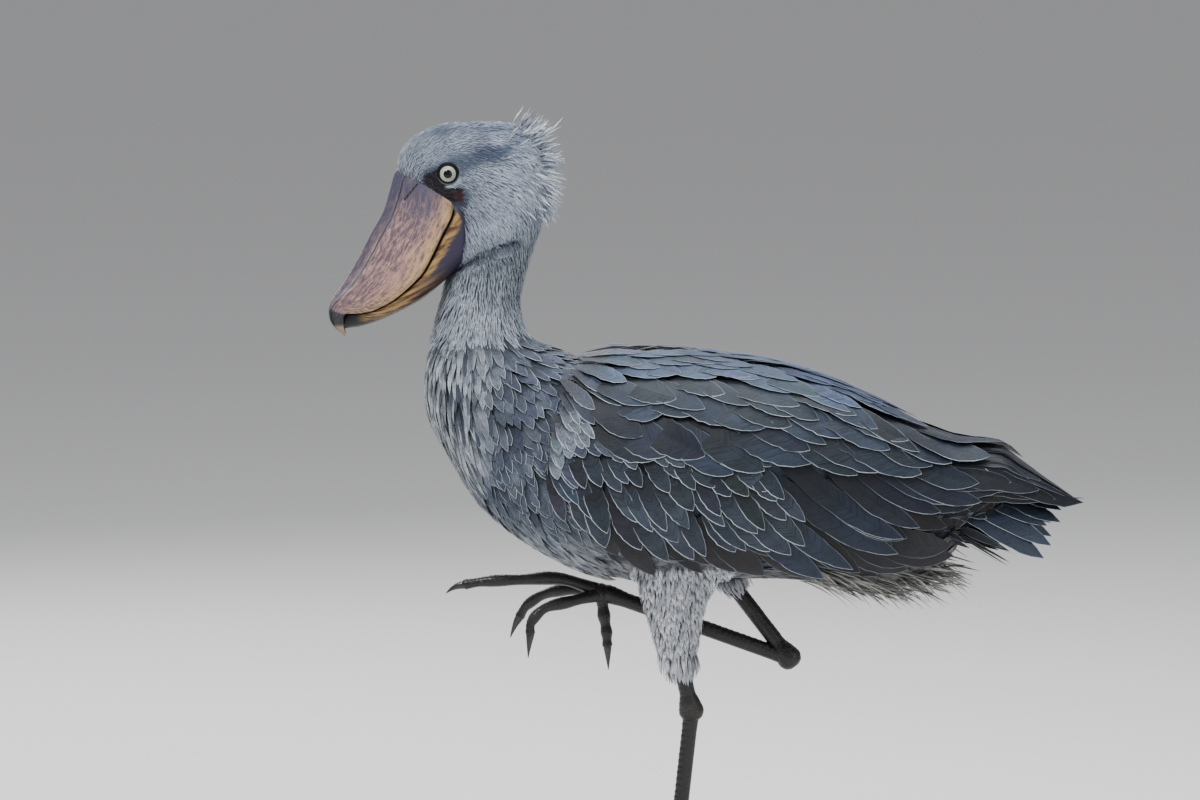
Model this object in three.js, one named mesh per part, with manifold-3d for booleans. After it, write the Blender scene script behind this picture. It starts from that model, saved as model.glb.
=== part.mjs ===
// A shoebill as a still, life-size model, wading with its right foot raised.
// Millimetres, +Z up. The bill points to -X and the bird's left side faces -Y.
// The origin is on the floor under the middle of the standing foot.

import * as THREE from 'three';
import { mergeVertices } from 'three/addons/utils/BufferGeometryUtils.js';
import Module from 'manifold-3d';

const wasm = await Module();
wasm.setup();
const { Vector3 } = THREE;
const V = (x, y, z) => new Vector3(x, y, z);

// Driving dimensions

const GAP = 0.35;
const WELD = 1e-3;
const BODY_SIDES = 24;
const HEAD_SIDES = 24;
const BILL_RINGS = 17;

// The trunk, from the breast to the vent, as sections across X.
const TRUNK = [
  { x: -295, top: 672, bottom: 640, half: 14, square: 2.0 },
  { x: -290, top: 700, bottom: 612, half: 36, square: 2.0 },
  { x: -276, top: 716, bottom: 580, half: 60, square: 2.1 },
  { x: -256, top: 722, bottom: 545, half: 78, square: 2.1 },
  { x: -228, top: 722, bottom: 499, half: 91, square: 2.2 },
  { x: -192, top: 712, bottom: 465, half: 101, square: 2.2 },
  { x: -156, top: 695, bottom: 441, half: 108, square: 2.2 },
  { x: -96, top: 676, bottom: 412, half: 114, square: 2.2 },
  { x: -36, top: 673, bottom: 400, half: 117, square: 2.2 },
  { x: 36, top: 665, bottom: 400, half: 117, square: 2.2 },
  { x: 108, top: 656, bottom: 402, half: 110, square: 2.2 },
  { x: 180, top: 636, bottom: 398, half: 94, square: 2.2 },
  { x: 240, top: 609, bottom: 390, half: 74, square: 2.1 },
  { x: 290, top: 583, bottom: 402, half: 52, square: 2.0 },
  { x: 322, top: 566, bottom: 424, half: 36, square: 2.0 },
  { x: 342, top: 536, bottom: 450, half: 20, square: 2.0 },
  { x: 350, top: 508, bottom: 478, half: 8, square: 2.0 },
];

// The neck and head, from inside the breast to the crown, as level sections.
const NECK = [
  { z: 600, front: -268, back: -100, half: 72, square: 2.0 },
  { z: 650, front: -286, back: -126, half: 70, square: 2.0 },
  { z: 680, front: -293, back: -148, half: 64, square: 2.0 },
  { z: 708, front: -288, back: -169, half: 56, square: 2.0 },
  { z: 744, front: -279, back: -176, half: 49, square: 2.0 },
  { z: 768, front: -273, back: -171, half: 47, square: 2.0 },
  { z: 790, front: -268, back: -166, half: 51, square: 2.1 },
  { z: 812, front: -263, back: -160, half: 57, square: 2.2 },
  { z: 838, front: -266, back: -152, half: 62, square: 2.2 },
  { z: 862, front: -284, back: -146, half: 64, square: 2.2 },
  { z: 884, front: -316, back: -145, half: 63, square: 2.2 },
  { z: 904, front: -329, back: -147, half: 59, square: 2.2 },
  { z: 922, front: -325, back: -152, half: 53, square: 2.1 },
  { z: 940, front: -310, back: -162, half: 43, square: 2.0 },
  { z: 952, front: -286, back: -176, half: 31, square: 2.0 },
  { z: 958, front: -262, back: -194, half: 18, square: 2.0 },
  { z: 960, front: -244, back: -212, half: 8, square: 2.0 },
];

// Where the head, neck and trunk part: two points on each slanting cut.
const HEAD_CUT = { front: V(-268, 0, 779), back: V(-156, 0, 832) };
const NECK_CUT = { front: V(-292, 0, 686), back: V(-160, 0, 708) };

// The bill, as pairs of points across it from the base to the tip of the nail.
const UPPER = [
  { x: -306, z: 908, tomX: -236, tomZ: 880, half: 27, ridge: 6 },
  { x: -327.5, z: 901, tomX: -256, tomZ: 868, half: 43, ridge: 6 },
  { x: -336, z: 876, tomX: -261, tomZ: 849, half: 46, ridge: 6 },
  { x: -343, z: 853, tomX: -271, tomZ: 829, half: 49, ridge: 6 },
  { x: -354, z: 833, tomX: -282, tomZ: 806, half: 51, ridge: 6 },
  { x: -366, z: 810, tomX: -295, tomZ: 782, half: 52.5, ridge: 6 },
  { x: -378, z: 787, tomX: -313, tomZ: 763, half: 52, ridge: 6 },
  { x: -390, z: 767, tomX: -336, tomZ: 745, half: 47, ridge: 6 },
  { x: -401, z: 752, tomX: -360, tomZ: 733.5, half: 36, ridge: 6.5 },
  { x: -406.5, z: 743, tomX: -375, tomZ: 730.5, half: 26, ridge: 7 },
  { x: -409.5, z: 732, tomX: -388, tomZ: 729.5, half: 18, ridge: 6.5 },
  { x: -408.5, z: 722, tomX: -391, tomZ: 722, half: 12, ridge: 5 },
  { x: -402.5, z: 710.5, tomX: -390, tomZ: 712.5, half: 6.5, ridge: 3 },
];
const NAIL_TIP = V(-388.8, 0, 700.8);
const NOSTRIL = { from: V(-321, 25, 872), to: V(-306, 28, 889), width: 4, deep: 9 };

// The lower mandible: the keel below each point of the mouth line.
const LOWER = [
  { x: -244, z: 876, keelX: -214, keelZ: 850, half: 34 },
  { x: -256, z: 868, keelX: -224, keelZ: 832, half: 39 },
  { x: -261, z: 849, keelX: -232, keelZ: 815, half: 42 },
  { x: -271, z: 829, keelX: -241, keelZ: 797, half: 45 },
  { x: -282, z: 806, keelX: -254, keelZ: 784, half: 47 },
  { x: -295, z: 782, keelX: -271, keelZ: 769, half: 48 },
  { x: -313, z: 763, keelX: -298, keelZ: 746.5, half: 47 },
  { x: -336, z: 745, keelX: -327, keelZ: 730, half: 42 },
  { x: -360, z: 733.5, keelX: -356, keelZ: 717.5, half: 31 },
  { x: -375, z: 730.5, keelX: -374, keelZ: 712.5, half: 21 },
  { x: -386, z: 729.6, keelX: -387, keelZ: 710, half: 12 },
];

// Eyes
const EYE = { x: -265.8, y: 47.5, z: 901.7, radius: 13.5, rim: 10.5, lid: 2.4 };

// The folded wing, as the outer line of sections across X, with the angles
// from the middle of the back at which it begins and ends.
const WING = [
  { x: -140, top: 694, bottom: 438, half: 114, from: 72, to: 108, thick: 4 },
  { x: -124, top: 689, bottom: 428, half: 117, from: 48, to: 120, thick: 8 },
  { x: -96, top: 683, bottom: 415, half: 120, from: 24, to: 132, thick: 11 },
  { x: -60, top: 682, bottom: 400, half: 122, from: 14, to: 140, thick: 13 },
  { x: 0, top: 681, bottom: 394, half: 124, from: 9, to: 148, thick: 14 },
  { x: 60, top: 674, bottom: 394, half: 122, from: 6, to: 150, thick: 14 },
  { x: 120, top: 665, bottom: 394, half: 114, from: 4, to: 150, thick: 13 },
  { x: 180, top: 648, bottom: 392, half: 100, from: 2, to: 147, thick: 12 },
  { x: 240, top: 622, bottom: 394, half: 84, from: 1, to: 142, thick: 10 },
  { x: 300, top: 593, bottom: 406, half: 66, from: 1, to: 132, thick: 9 },
  { x: 345, top: 576, bottom: 424, half: 55, from: 1, to: 118, thick: 8 },
  { x: 396, top: 570, bottom: 444, half: 46, from: 1, to: 104, thick: 7 },
  { x: 420, top: 553, bottom: 462, half: 40, from: 1, to: 98, thick: 6 },
  { x: 450, top: 531, bottom: 484, half: 30, from: 1, to: 92, thick: 5 },
  { x: 474, top: 514, bottom: 494, half: 20, from: 1, to: 84, thick: 3.5 },
  { x: 484, top: 506, bottom: 500, half: 10, from: 1, to: 70, thick: 2 },
];
const WING_SQUARE = 2.2;
const WING_ROWS = 12;
const WING_COLUMNS = 5;
// How far the feathers' tips reach past the arm of the wing, in mm and degrees.
const WING_OVERHANG = { behind: 44, below: 6 };

// Rows of feathers on the folded wing, from the lowest layer to the highest.
// Each row runs between two roots, given as X and an angle from the back's
// middle; headings are degrees below straight back, on the wing's surface.
const WING_FEATHERS = [
  { count: 8, from: [-98, 102], to: [220, 104], heading: [54, 34], length: [82, 126], width: 46, rise: 1 },
  { count: 4, from: [290, 66], to: [312, 16], heading: [6, 0], length: [180, 190], width: 30, rise: 1 },
  { count: 4, from: [90, 90], to: [222, 56], heading: [38, 20], length: [158, 150], width: 42, rise: 2.5 },
  { count: 6, from: [-112, 90], to: [56, 92], heading: [62, 50], length: [66, 74], width: 42, rise: 3 },
  { count: 6, from: [-114, 74], to: [98, 80], heading: [56, 44], length: [66, 72], width: 46, rise: 4.5 },
  { count: 3, from: [178, 44], to: [244, 10], heading: [16, 4], length: [140, 160], width: 44, rise: 4 },
  { count: 5, from: [-104, 56], to: [130, 46], heading: [34, 24], length: [96, 130], width: 62, rise: 6 },
  { count: 5, from: [-92, 28], to: [150, 16], heading: [20, 8], length: [96, 128], width: 58, rise: 7 },
];
// The bare arm lies this far under the outer line, with its edges this thin.
const WING_ARM = { sink: 3, edge: 0.3 };

// The tail: a roofed fan from the rump to the tips.
const TAIL = {
  rootX: 262, rootTop: 590, rootDrop: 40, rootHalf: 20,
  tipX: 470, tipPull: 10, tipTop: 500, tipDrop: 76, tipHalf: 64,
  thick: 4, rows: 2, columns: 6, core: 0.5,
  feathers: 12, width: 30, layer: 3.5,
  coverts: 4, covertReach: 0.66, covertWidth: 32,
};

// The tuft on the nape, feather by feather from the crown down to the neck.
const CREST = {
  count: 12, topZ: 946, lowZ: 852, upward: 52, downward: -62,
  long: 32, short: 18, width: 19, thick: 1.4, spread: 20, roll: 72, lie: 14,
};

// Shaggy feathers under the root of the tail, and the hem of the thigh's.
const VENT_FEATHERS = [
  { count: 3, from: [222, 166], to: [290, 142], heading: [14, 0], length: [66, 70], width: 22, rise: 6 },
];
const THIGH_FRINGE = { count: 5, above: 10, length: 26, width: 23, flare: 3 };

// Legs. Each is given by its joints, from the body down.
const LEFT = {
  side: -1,
  thigh: [
    { x: 16, y: -56, z: 468, fore: 62, half: 36 },
    { x: 11, y: -51, z: 420, fore: 55, half: 36 },
    { x: 5, y: -44, z: 384, fore: 41, half: 32 },
    { x: 7, y: -37, z: 352, fore: 33, half: 27 },
    { x: 9, y: -30, z: 318, fore: 26, half: 22 },
    { x: 12, y: -27, z: 306, fore: 17, half: 15 },
  ],
  knee: V(11, -28, 318), ankle: V(26, -18, 250), hub: V(0, 0, 14),
};
const RIGHT = {
  side: 1,
  thigh: [
    { x: -10, y: 62, z: 530, fore: 44, half: 32 },
    { x: 18, y: 60, z: 480, fore: 40, half: 30 },
    { x: 50, y: 57, z: 434, fore: 30, half: 25 },
    { x: 68, y: 55, z: 405, fore: 21, half: 19 },
    { x: 74, y: 54, z: 396, fore: 13, half: 13 },
  ],
  knee: V(68, 55, 405), ankle: V(144, 48, 306), hub: V(-84, 44, 388),
};
const SHANK = { fore: 9.5, half: 8.5 };
const ANKLE = { fore: 15, half: 11.5, reach: 24 };
const TARSUS = { fore: 9, half: 7.5 };
const HUB = { radius: 13, below: 2.5 };

const COLOURS = {
  head: 0x95a5b7, neck: 0x97a5af, body: 0x6f7d8c, wing: 0x35404d, tail: 0x263141,
  bill: 0xc9a596, mandible: 0xc3a06c, eye: 0xcdd2be, thigh: 0xa9afb8, leg: 0x1c191b,
  claw: 0x241f1d,
};

// Solids from triangles

class Facets {
  constructor() {
    this.corners = [];
  }

  face(...loop) {
    for (let i = 2; i < loop.length; i += 1) {
      this.corners.push(loop[0], loop[i - 1], loop[i]);
    }
  }

  solid() {
    const soup = new THREE.BufferGeometry().setFromPoints(this.corners);
    const merged = mergeVertices(soup, WELD);
    const index = merged.index.array;
    const kept = [];
    for (let i = 0; i < index.length; i += 3) {
      const [a, b, c] = [index[i], index[i + 1], index[i + 2]];
      if (a !== b && b !== c && a !== c) kept.push(a, b, c);
    }
    const build = (order) => new wasm.Manifold(new wasm.Mesh({
      numProp: 3,
      vertProperties: new Float32Array(merged.attributes.position.array),
      triVerts: new Uint32Array(order),
    }));
    const made = build(kept);
    if (made.volume() > 0) return made;
    return build(kept.map((_, i) => kept[i - (i % 3) + 2 - (i % 3)]));
  }
}

const middle = (ring) => (
  ring.reduce((sum, p) => sum.add(p), V(0, 0, 0)).divideScalar(ring.length)
);

// Rings with the first and the last moved outwards by a little.
function lengthened(rings, by) {
  const moved = (ring, next) => {
    const away = middle(ring).sub(middle(next)).setLength(by);
    return ring.map((p) => p.clone().add(away));
  };
  if (by === 0) return rings;
  return [moved(rings[0], rings[1]), ...rings.slice(1, -1), moved(rings.at(-1), rings.at(-2))];
}

// A closed skin over rings of equal length, each end closed to a point.
function loft(rings, first, last) {
  const skin = new Facets();
  const count = rings[0].length;
  const start = first ?? middle(rings[0]);
  const end = last ?? middle(rings.at(-1));
  for (let k = 0; k < count; k += 1) {
    const n = (k + 1) % count;
    skin.face(start, rings[0][n], rings[0][k]);
    skin.face(end, rings.at(-1)[k], rings.at(-1)[n]);
    for (let i = 1; i < rings.length; i += 1) {
      skin.face(rings[i - 1][k], rings[i - 1][n], rings[i][n], rings[i][k]);
    }
  }
  return skin.solid();
}

// A closed plate between two grids of points, with triangles alike on both faces.
function plate(outer, inner) {
  const skin = new Facets();
  const rows = outer.length - 1;
  const columns = outer[0].length - 1;
  for (let i = 0; i < rows; i += 1) {
    for (let k = 0; k < columns; k += 1) {
      skin.face(outer[i][k], outer[i][k + 1], outer[i + 1][k + 1], outer[i + 1][k]);
      const [a, b] = [inner[i][k], inner[i][k + 1]];
      const [c, d] = [inner[i + 1][k + 1], inner[i + 1][k]];
      skin.face(a, d, c, b);
    }
    skin.face(outer[i][0], outer[i + 1][0], inner[i + 1][0], inner[i][0]);
    skin.face(inner[i][columns], inner[i + 1][columns], outer[i + 1][columns], outer[i][columns]);
  }
  for (let k = 0; k < columns; k += 1) {
    skin.face(outer[0][k + 1], outer[0][k], inner[0][k], inner[0][k + 1]);
    skin.face(outer[rows][k], outer[rows][k + 1], inner[rows][k + 1], inner[rows][k]);
  }
  return skin.solid();
}

const joined = (pieces) => pieces.reduce((whole, piece) => whole.add(piece));

// The largest closed surface of a solid, without scraps or sealed hollows.
function largest(solid) {
  return solid.decompose().reduce((best, part) => (part.volume() > best.volume() ? part : best));
}

function mirrored(solid) {
  return solid.mirror([0, 1, 0]);
}

// Smooth values between stations

// A curve through the named measure of each station that never overshoots one.
function measure(stations, along, key, at) {
  const last = stations.length - 1;
  const place = (i) => stations[i][along];
  const secant = (i) => (stations[i + 1][key] - stations[i][key]) / (place(i + 1) - place(i));
  const slope = (i) => {
    if (i === 0) return secant(0);
    if (i === last) return secant(last - 1);
    const [a, b] = [secant(i - 1), secant(i)];
    return a * b <= 0 ? 0 : (2 * a * b) / (a + b);
  };
  if (at <= place(0)) return stations[0][key];
  if (at >= place(last)) return stations[last][key];
  let i = 0;
  while (place(i + 1) < at) i += 1;
  const width = place(i + 1) - place(i);
  const t = (at - place(i)) / width;
  const [p, q] = [stations[i][key], stations[i + 1][key]];
  const [m, n] = [slope(i) * width, slope(i + 1) * width];
  return p * (1 + 2 * t) * (1 - t) ** 2 + m * t * (1 - t) ** 2
    + q * t * t * (3 - 2 * t) + n * t * t * (t - 1);
}

// Evenly seeded numbers from 0 to 1, the same on every run.
function seeded(seed) {
  let state = seed;
  return () => {
    state = (state * 1664525 + 1013904223) % 4294967296;
    return state / 4294967296;
  };
}

const power = (value, square) => Math.sign(value) * Math.abs(value) ** (2 / square);
const steps = (count, each) => Array.from({ length: count }, (_, i) => each(i));
const radians = THREE.MathUtils.degToRad;

// Places for rings from one end to the other, closer together at each end.
function eased(from, to, count) {
  return steps(count, (i) => {
    const t = i / (count - 1);
    const bent = 0.5 - 0.5 * Math.cos(Math.PI * t);
    return from + (to - from) * (0.55 * bent + 0.45 * t);
  });
}

// Trunk, neck and head

function trunkRing(x, grow) {
  const at = (key) => measure(TRUNK, 'x', key, x);
  const middle = (at('top') + at('bottom')) / 2;
  const high = (at('top') - at('bottom')) / 2 + grow;
  const half = at('half') + grow;
  return steps(BODY_SIDES, (k) => {
    const angle = (2 * Math.PI * k) / BODY_SIDES;
    return V(
      x,
      half * power(Math.sin(angle), at('square')),
      middle + high * power(Math.cos(angle), at('square')),
    );
  });
}

function trunkLoft(grow = 0) {
  const places = eased(TRUNK[0].x - grow, TRUNK.at(-1).x + grow, 20);
  return loft(places.map((x) => trunkRing(x, grow)));
}

function neckRing(z, grow) {
  const at = (key) => measure(NECK, 'z', key, z);
  const middle = (at('front') + at('back')) / 2;
  const long = (at('back') - at('front')) / 2 + grow;
  const half = at('half') + grow;
  return steps(HEAD_SIDES, (k) => {
    const angle = (2 * Math.PI * k) / HEAD_SIDES;
    return V(
      middle + long * power(Math.cos(angle), at('square')),
      half * power(Math.sin(angle), at('square')),
      z,
    );
  });
}

function neckLoft(grow = 0) {
  const places = eased(NECK[0].z - grow, NECK.at(-1).z + grow, 24);
  return loft(places.map((z) => neckRing(z, grow)));
}

// The part of a solid on one side of a slanting cut, half a gap from it.
function above(solid, cut, upward) {
  const run = cut.back.clone().sub(cut.front);
  const normal = V(-run.z, 0, run.x).normalize();
  const level = normal.dot(cut.front);
  const side = upward ? 1 : -1;
  const n = normal.multiplyScalar(side);
  return solid.trimByPlane([n.x, n.y, n.z], side * level + GAP / 2);
}

// Feathers

// Outline of a feather: pairs of the share of its length and of its half width.
const LEAF = [[0, 0.5], [0.45, 1], [0.88, 0.66]];
const BROAD_LEAF = [[0, 0.45], [0.75, 1], [0.95, 0.74]];
const VANE = { thick: 1.4, sink: 2.6, arch: 1300, roll: 0.16, climb: 0.55 };

// A thin leaf over a row of places, each with its way along and out.
function vane(path, { width, thick = VANE.thick, sink = VANE.sink, rise, roll = 0, leaf = LEAF }) {
  const skin = new Facets();
  const lift = (t) => (rise + sink) * Math.min(1, t / VANE.climb) ** 0.7 - sink;
  const arch = (width * 2) / VANE.arch;
  const rings = leaf.map(([t, share]) => {
    const { point, along, out } = path(t);
    const across = new Vector3().crossVectors(out, along).normalize();
    const half = (width / 2) * share;
    const at = (side, height) => point.clone()
      .addScaledVector(across, side).addScaledVector(out, lift(t) + height);
    return {
      left: at(-half, half * (roll - arch)), right: at(half, -half * (roll + arch)),
      top: at(0, thick / 2), under: at(0, -thick / 2),
    };
  });
  const end = path(1);
  const tip = end.point.clone().addScaledVector(end.out, rise);
  rings.slice(1).forEach((b, i) => {
    const a = rings[i];
    skin.face(a.left, a.top, b.top);
    skin.face(a.left, b.top, b.left);
    skin.face(a.top, a.right, b.top);
    skin.face(a.right, b.right, b.top);
    skin.face(a.left, b.under, a.under);
    skin.face(a.left, b.left, b.under);
    skin.face(a.under, b.under, a.right);
    skin.face(a.right, b.under, b.right);
  });
  const [first, last] = [rings[0], rings.at(-1)];
  skin.face(first.top, first.left, first.under, first.right);
  skin.face(last.left, last.top, tip);
  skin.face(last.top, last.right, tip);
  skin.face(last.right, last.under, tip);
  skin.face(last.under, last.left, tip);
  return skin.solid();
}

// A path of the given length over a surface of two measures, the second of
// which runs down the left side; heading is the angle below straight back.
function walk(surface, [x, angle], heading, length) {
  const strides = 20;
  const frameAt = (u, v) => {
    const byU = surface(u + 0.5, v).sub(surface(u - 0.5, v));
    const byV = surface(u, v + 0.01).sub(surface(u, v - 0.01)).divideScalar(0.02);
    const out = new Vector3().crossVectors(byV, byU).normalize();
    return { byU, byV, out };
  };
  const places = [];
  let [u, v] = [x, angle];
  for (let i = 0; i <= strides; i += 1) {
    const { byU, byV, out } = frameAt(u, v);
    const along = byU.clone().normalize().multiplyScalar(Math.cos(heading))
      .addScaledVector(byV.clone().normalize(), Math.sin(heading));
    places.push({ point: surface(u, v), along, out });
    const stride = length / strides;
    u += (Math.cos(heading) * stride) / byU.length();
    v += (Math.sin(heading) * stride) / byV.length();
  }
  return (t) => places[Math.round(t * strides)];
}

const between = ([a, b], t) => a + (b - a) * t;

// One row of feathers over a surface, a little uneven as real ones are.
function featherRow(surface, row, random) {
  return steps(row.count, (i) => {
    const t = row.count > 1 ? i / (row.count - 1) : 0;
    const uneven = (share) => 1 + share * (2 * random() - 1);
    const x = between([row.from[0], row.to[0]], t) + 3 * (2 * random() - 1);
    const angle = radians(between([row.from[1], row.to[1]], t) + 1.5 * (2 * random() - 1));
    const heading = radians(between(row.heading, t) + 2.5 * (2 * random() - 1));
    const length = between(row.length, t) * uneven(0.05);
    return vane(walk(surface, [x, angle], heading, length), {
      width: row.width * uneven(0.06), rise: row.rise, sink: row.sink, roll: row.roll,
    });
  });
}

function featherRows(surface, rows, seed) {
  const random = seeded(seed);
  return rows.flatMap((row) => featherRow(surface, row, random));
}

// Bill

function upperRing(at, grow) {
  const top = V(at('x'), 0, at('z'));
  const down = V(at('tomX'), 0, at('tomZ')).sub(top);
  const deep = down.length();
  down.normalize();
  const [w, r] = [at('half') + grow, at('ridge') + grow];
  const outline = [
    [0, -grow], [r * 0.8, 0.5 - grow], [r * 1.35, deep * 0.07],
    [w * 0.62, deep * 0.2], [w * 0.85, deep * 0.42], [w * 0.97, deep * 0.64],
    [w, deep * 0.84], [w * 0.95, deep + grow], [w * 0.5, deep + grow],
  ];
  const back = outline.slice(1).reverse().map(([y, q]) => [-y, q]);
  return [...outline, ...back].map(([y, q]) => top.clone().addScaledVector(down, q).setY(y));
}

function lowerRing(at, grow) {
  const top = V(at('x'), 0, at('z'));
  const down = V(at('keelX'), 0, at('keelZ')).sub(top);
  const deep = down.length();
  down.normalize();
  const w = at('half') + grow;
  const outline = [
    [0, GAP - grow], [w * 0.6, GAP - grow], [w, GAP - grow], [w * 0.98, deep * 0.4],
    [w * 0.78, deep * 0.8], [w * 0.4, deep * 0.99 + grow],
  ];
  const back = outline.slice(1).reverse().map(([y, q]) => [-y, q]);
  return [...outline, [0, deep + grow], ...back]
    .map(([y, q]) => top.clone().addScaledVector(down, q).setY(y));
}

// Rings spread evenly over the stations, a few more than there are stations.
function billRings(stations, ring, grow) {
  const numbered = stations.map((station, i) => ({ ...station, i }));
  const last = stations.length - 1;
  return steps(BILL_RINGS, (n) => (
    ring((key) => measure(numbered, 'i', key, (n * last) / (BILL_RINGS - 1)), grow)
  ));
}

function upperBill(grow = 0) {
  const rings = lengthened(billRings(UPPER, upperRing, grow), grow);
  return loft(rings, undefined, NAIL_TIP.clone().setZ(NAIL_TIP.z - grow));
}

function lowerBill(grow = 0) {
  return loft(lengthened(billRings(LOWER, lowerRing, grow), grow));
}

// Eyes

function ball(centre, radius, across = 12, down = 8) {
  const shape = new THREE.SphereGeometry(radius, across, down);
  shape.deleteAttribute('normal');
  shape.deleteAttribute('uv');
  shape.rotateX(Math.PI / 2);
  shape.translate(centre.x, centre.y, centre.z);
  const skin = new Facets();
  const points = shape.attributes.position;
  const index = shape.index.array;
  for (let i = 0; i < index.length; i += 3) {
    skin.face(...[0, 1, 2].map((k) => new Vector3().fromBufferAttribute(points, index[i + k])));
  }
  return skin.solid();
}

const eyeCentre = (side) => V(EYE.x, side * EYE.y, EYE.z);

function lids(side) {
  const shape = new THREE.TorusGeometry(EYE.rim, EYE.lid, 5, 16);
  shape.rotateX(Math.PI / 2);
  shape.deleteAttribute('normal');
  shape.deleteAttribute('uv');
  const lift = side * (EYE.y + Math.sqrt(EYE.radius ** 2 - EYE.rim ** 2) - 0.5);
  shape.translate(EYE.x, lift, EYE.z);
  const skin = new Facets();
  const points = shape.attributes.position;
  const index = shape.index.array;
  for (let i = 0; i < index.length; i += 3) {
    skin.face(...[0, 1, 2].map((k) => new Vector3().fromBufferAttribute(points, index[i + k])));
  }
  return skin.solid();
}

// Wings

function wingPoint(x, angle, sink = 0) {
  const at = (key) => measure(WING, 'x', key, x);
  const middle = (at('top') + at('bottom')) / 2;
  const high = Math.max((at('top') - at('bottom')) / 2 - sink, 0.5);
  const half = Math.max(at('half') - sink, 0.5);
  return V(
    x,
    -half * power(Math.sin(angle), WING_SQUARE),
    middle + high * power(Math.cos(angle), WING_SQUARE),
  );
}

// The arm of the left wing under its feathers, thin at every edge.
function wingCore(grow = 0) {
  const edge = (t) => Math.min(1, WING_ARM.edge + 4 * t * (1 - t));
  const places = eased(WING[0].x - grow, WING.at(-1).x - WING_OVERHANG.behind + grow, WING_ROWS);
  const grid = (inside) => places.map((x) => {
    const at = (key) => measure(WING, 'x', key, x);
    const [from, to] = [radians(at('from')), radians(at('to') - WING_OVERHANG.below)];
    return steps(WING_COLUMNS + 1, (k) => {
      const t = k / WING_COLUMNS;
      const spill = grow / at('half');
      const angle = from - spill + t * (to - from + 2 * spill);
      return wingPoint(x, angle, WING_ARM.sink + (inside ? at('thick') * edge(t) + grow : -grow));
    });
  });
  return plate(grid(false), grid(true));
}

const MIDDLE_GAP = 0.2;

// The left wing with its feathers, kept to its own side of the back.
function feathersOfWing(seed) {
  const rows = WING_FEATHERS.map((row) => ({ ...row, sink: WING_ARM.sink + 2, roll: VANE.roll }));
  const vanes = featherRows(wingPoint, rows, seed);
  return joined([wingCore(), ...vanes]).trimByPlane([0, -1, 0], MIDDLE_GAP);
}

// Tail

function tailPoint(along, across, sink = 0) {
  const spread = THREE.MathUtils.lerp(TAIL.rootHalf, TAIL.tipHalf, along);
  const drop = THREE.MathUtils.lerp(TAIL.rootDrop, TAIL.tipDrop, along);
  const top = THREE.MathUtils.lerp(TAIL.rootTop, TAIL.tipTop, along);
  const end = TAIL.tipX - TAIL.tipPull * across * across;
  return V(
    THREE.MathUtils.lerp(TAIL.rootX, end, along),
    spread * across,
    top - drop * Math.abs(across) ** 1.4 - sink,
  );
}

// The fleshy root of the tail and the bases of its feathers.
function tailRoot() {
  const grid = (sink) => steps(TAIL.rows + 1, (i) => steps(TAIL.columns + 1, (k) => {
    const across = (2 * k) / TAIL.columns - 1;
    const along = (TAIL.core * i) / TAIL.rows;
    return tailPoint(along, across * 0.96, sink * (1 - 0.6 * (i / TAIL.rows)));
  }));
  return plate(grid(-TAIL.layer * 1.5), grid(TAIL.thick * 2));
}

function tailPath(across, reach) {
  return (t) => {
    const at = (along, side) => tailPoint(along * reach, side);
    const point = at(t, across);
    const along = at(t + 0.02, across).sub(at(t - 0.02, across)).normalize();
    const sideways = at(t, across + 0.02).sub(at(t, across - 0.02)).normalize();
    return { point, along, out: new Vector3().crossVectors(along, sideways).normalize() };
  };
}

// Tail feathers overlap from the middle pair down to the outer ones.
function tailFeathers() {
  const row = (count, reach, width, base) => steps(count, (i) => {
    const across = (2 * (i + 0.5)) / count - 1;
    const level = base + TAIL.layer * (1 - Math.abs(across));
    const roll = 0.1 * Math.sign(across);
    const path = tailPath(across, reach);
    return vane(path, { width, rise: level, sink: -level * 0.5, roll, leaf: BROAD_LEAF });
  });
  return [
    ...row(TAIL.feathers, 1, TAIL.width, 0),
    ...row(TAIL.coverts, TAIL.covertReach, TAIL.covertWidth, TAIL.layer),
  ];
}

// Legs

function levelRing({ x, y, z, fore, half }, sides = 16) {
  return steps(sides, (k) => {
    const angle = (2 * Math.PI * k) / sides;
    return V(x + fore * Math.cos(angle), y + half * Math.sin(angle), z);
  });
}

function limbRing(centre, along, fore, half, sides = 12) {
  const across = V(0, 1, 0);
  const front = new Vector3().crossVectors(across, along).normalize();
  return steps(sides, (k) => {
    const angle = (2 * Math.PI * k) / sides;
    return centre.clone()
      .addScaledVector(front, fore * Math.cos(angle))
      .addScaledVector(across, half * Math.sin(angle));
  });
}

// A limb between two points, its section given by pairs of place and radii.
function limb(from, to, sections, grow) {
  const along = to.clone().sub(from).normalize();
  return loft(lengthened(sections.map(([t, fore, half]) => (
    limbRing(from.clone().lerp(to, t), along, fore + grow, half + grow)
  )), grow));
}

function thigh(leg, grow = 0) {
  return loft(lengthened(leg.thigh.map(({ fore, half, ...place }) => (
    levelRing({ ...place, fore: fore + grow, half: half + grow })
  )), grow));
}

function shank(leg, grow = 0) {
  const length = leg.knee.distanceTo(leg.ankle);
  const start = (ANKLE.reach) / length;
  return limb(leg.knee, leg.ankle, [
    [0, SHANK.fore, SHANK.half],
    [1 - start, SHANK.fore, SHANK.half],
    [1 - start * 0.5, ANKLE.fore * 0.85, ANKLE.half * 0.95],
    [1, ANKLE.fore, ANKLE.half],
    [1 + start * 0.35, ANKLE.fore * 0.8, ANKLE.half * 0.85],
    [1 + start * 0.5, ANKLE.fore * 0.4, ANKLE.half * 0.45],
  ], grow);
}

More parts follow.
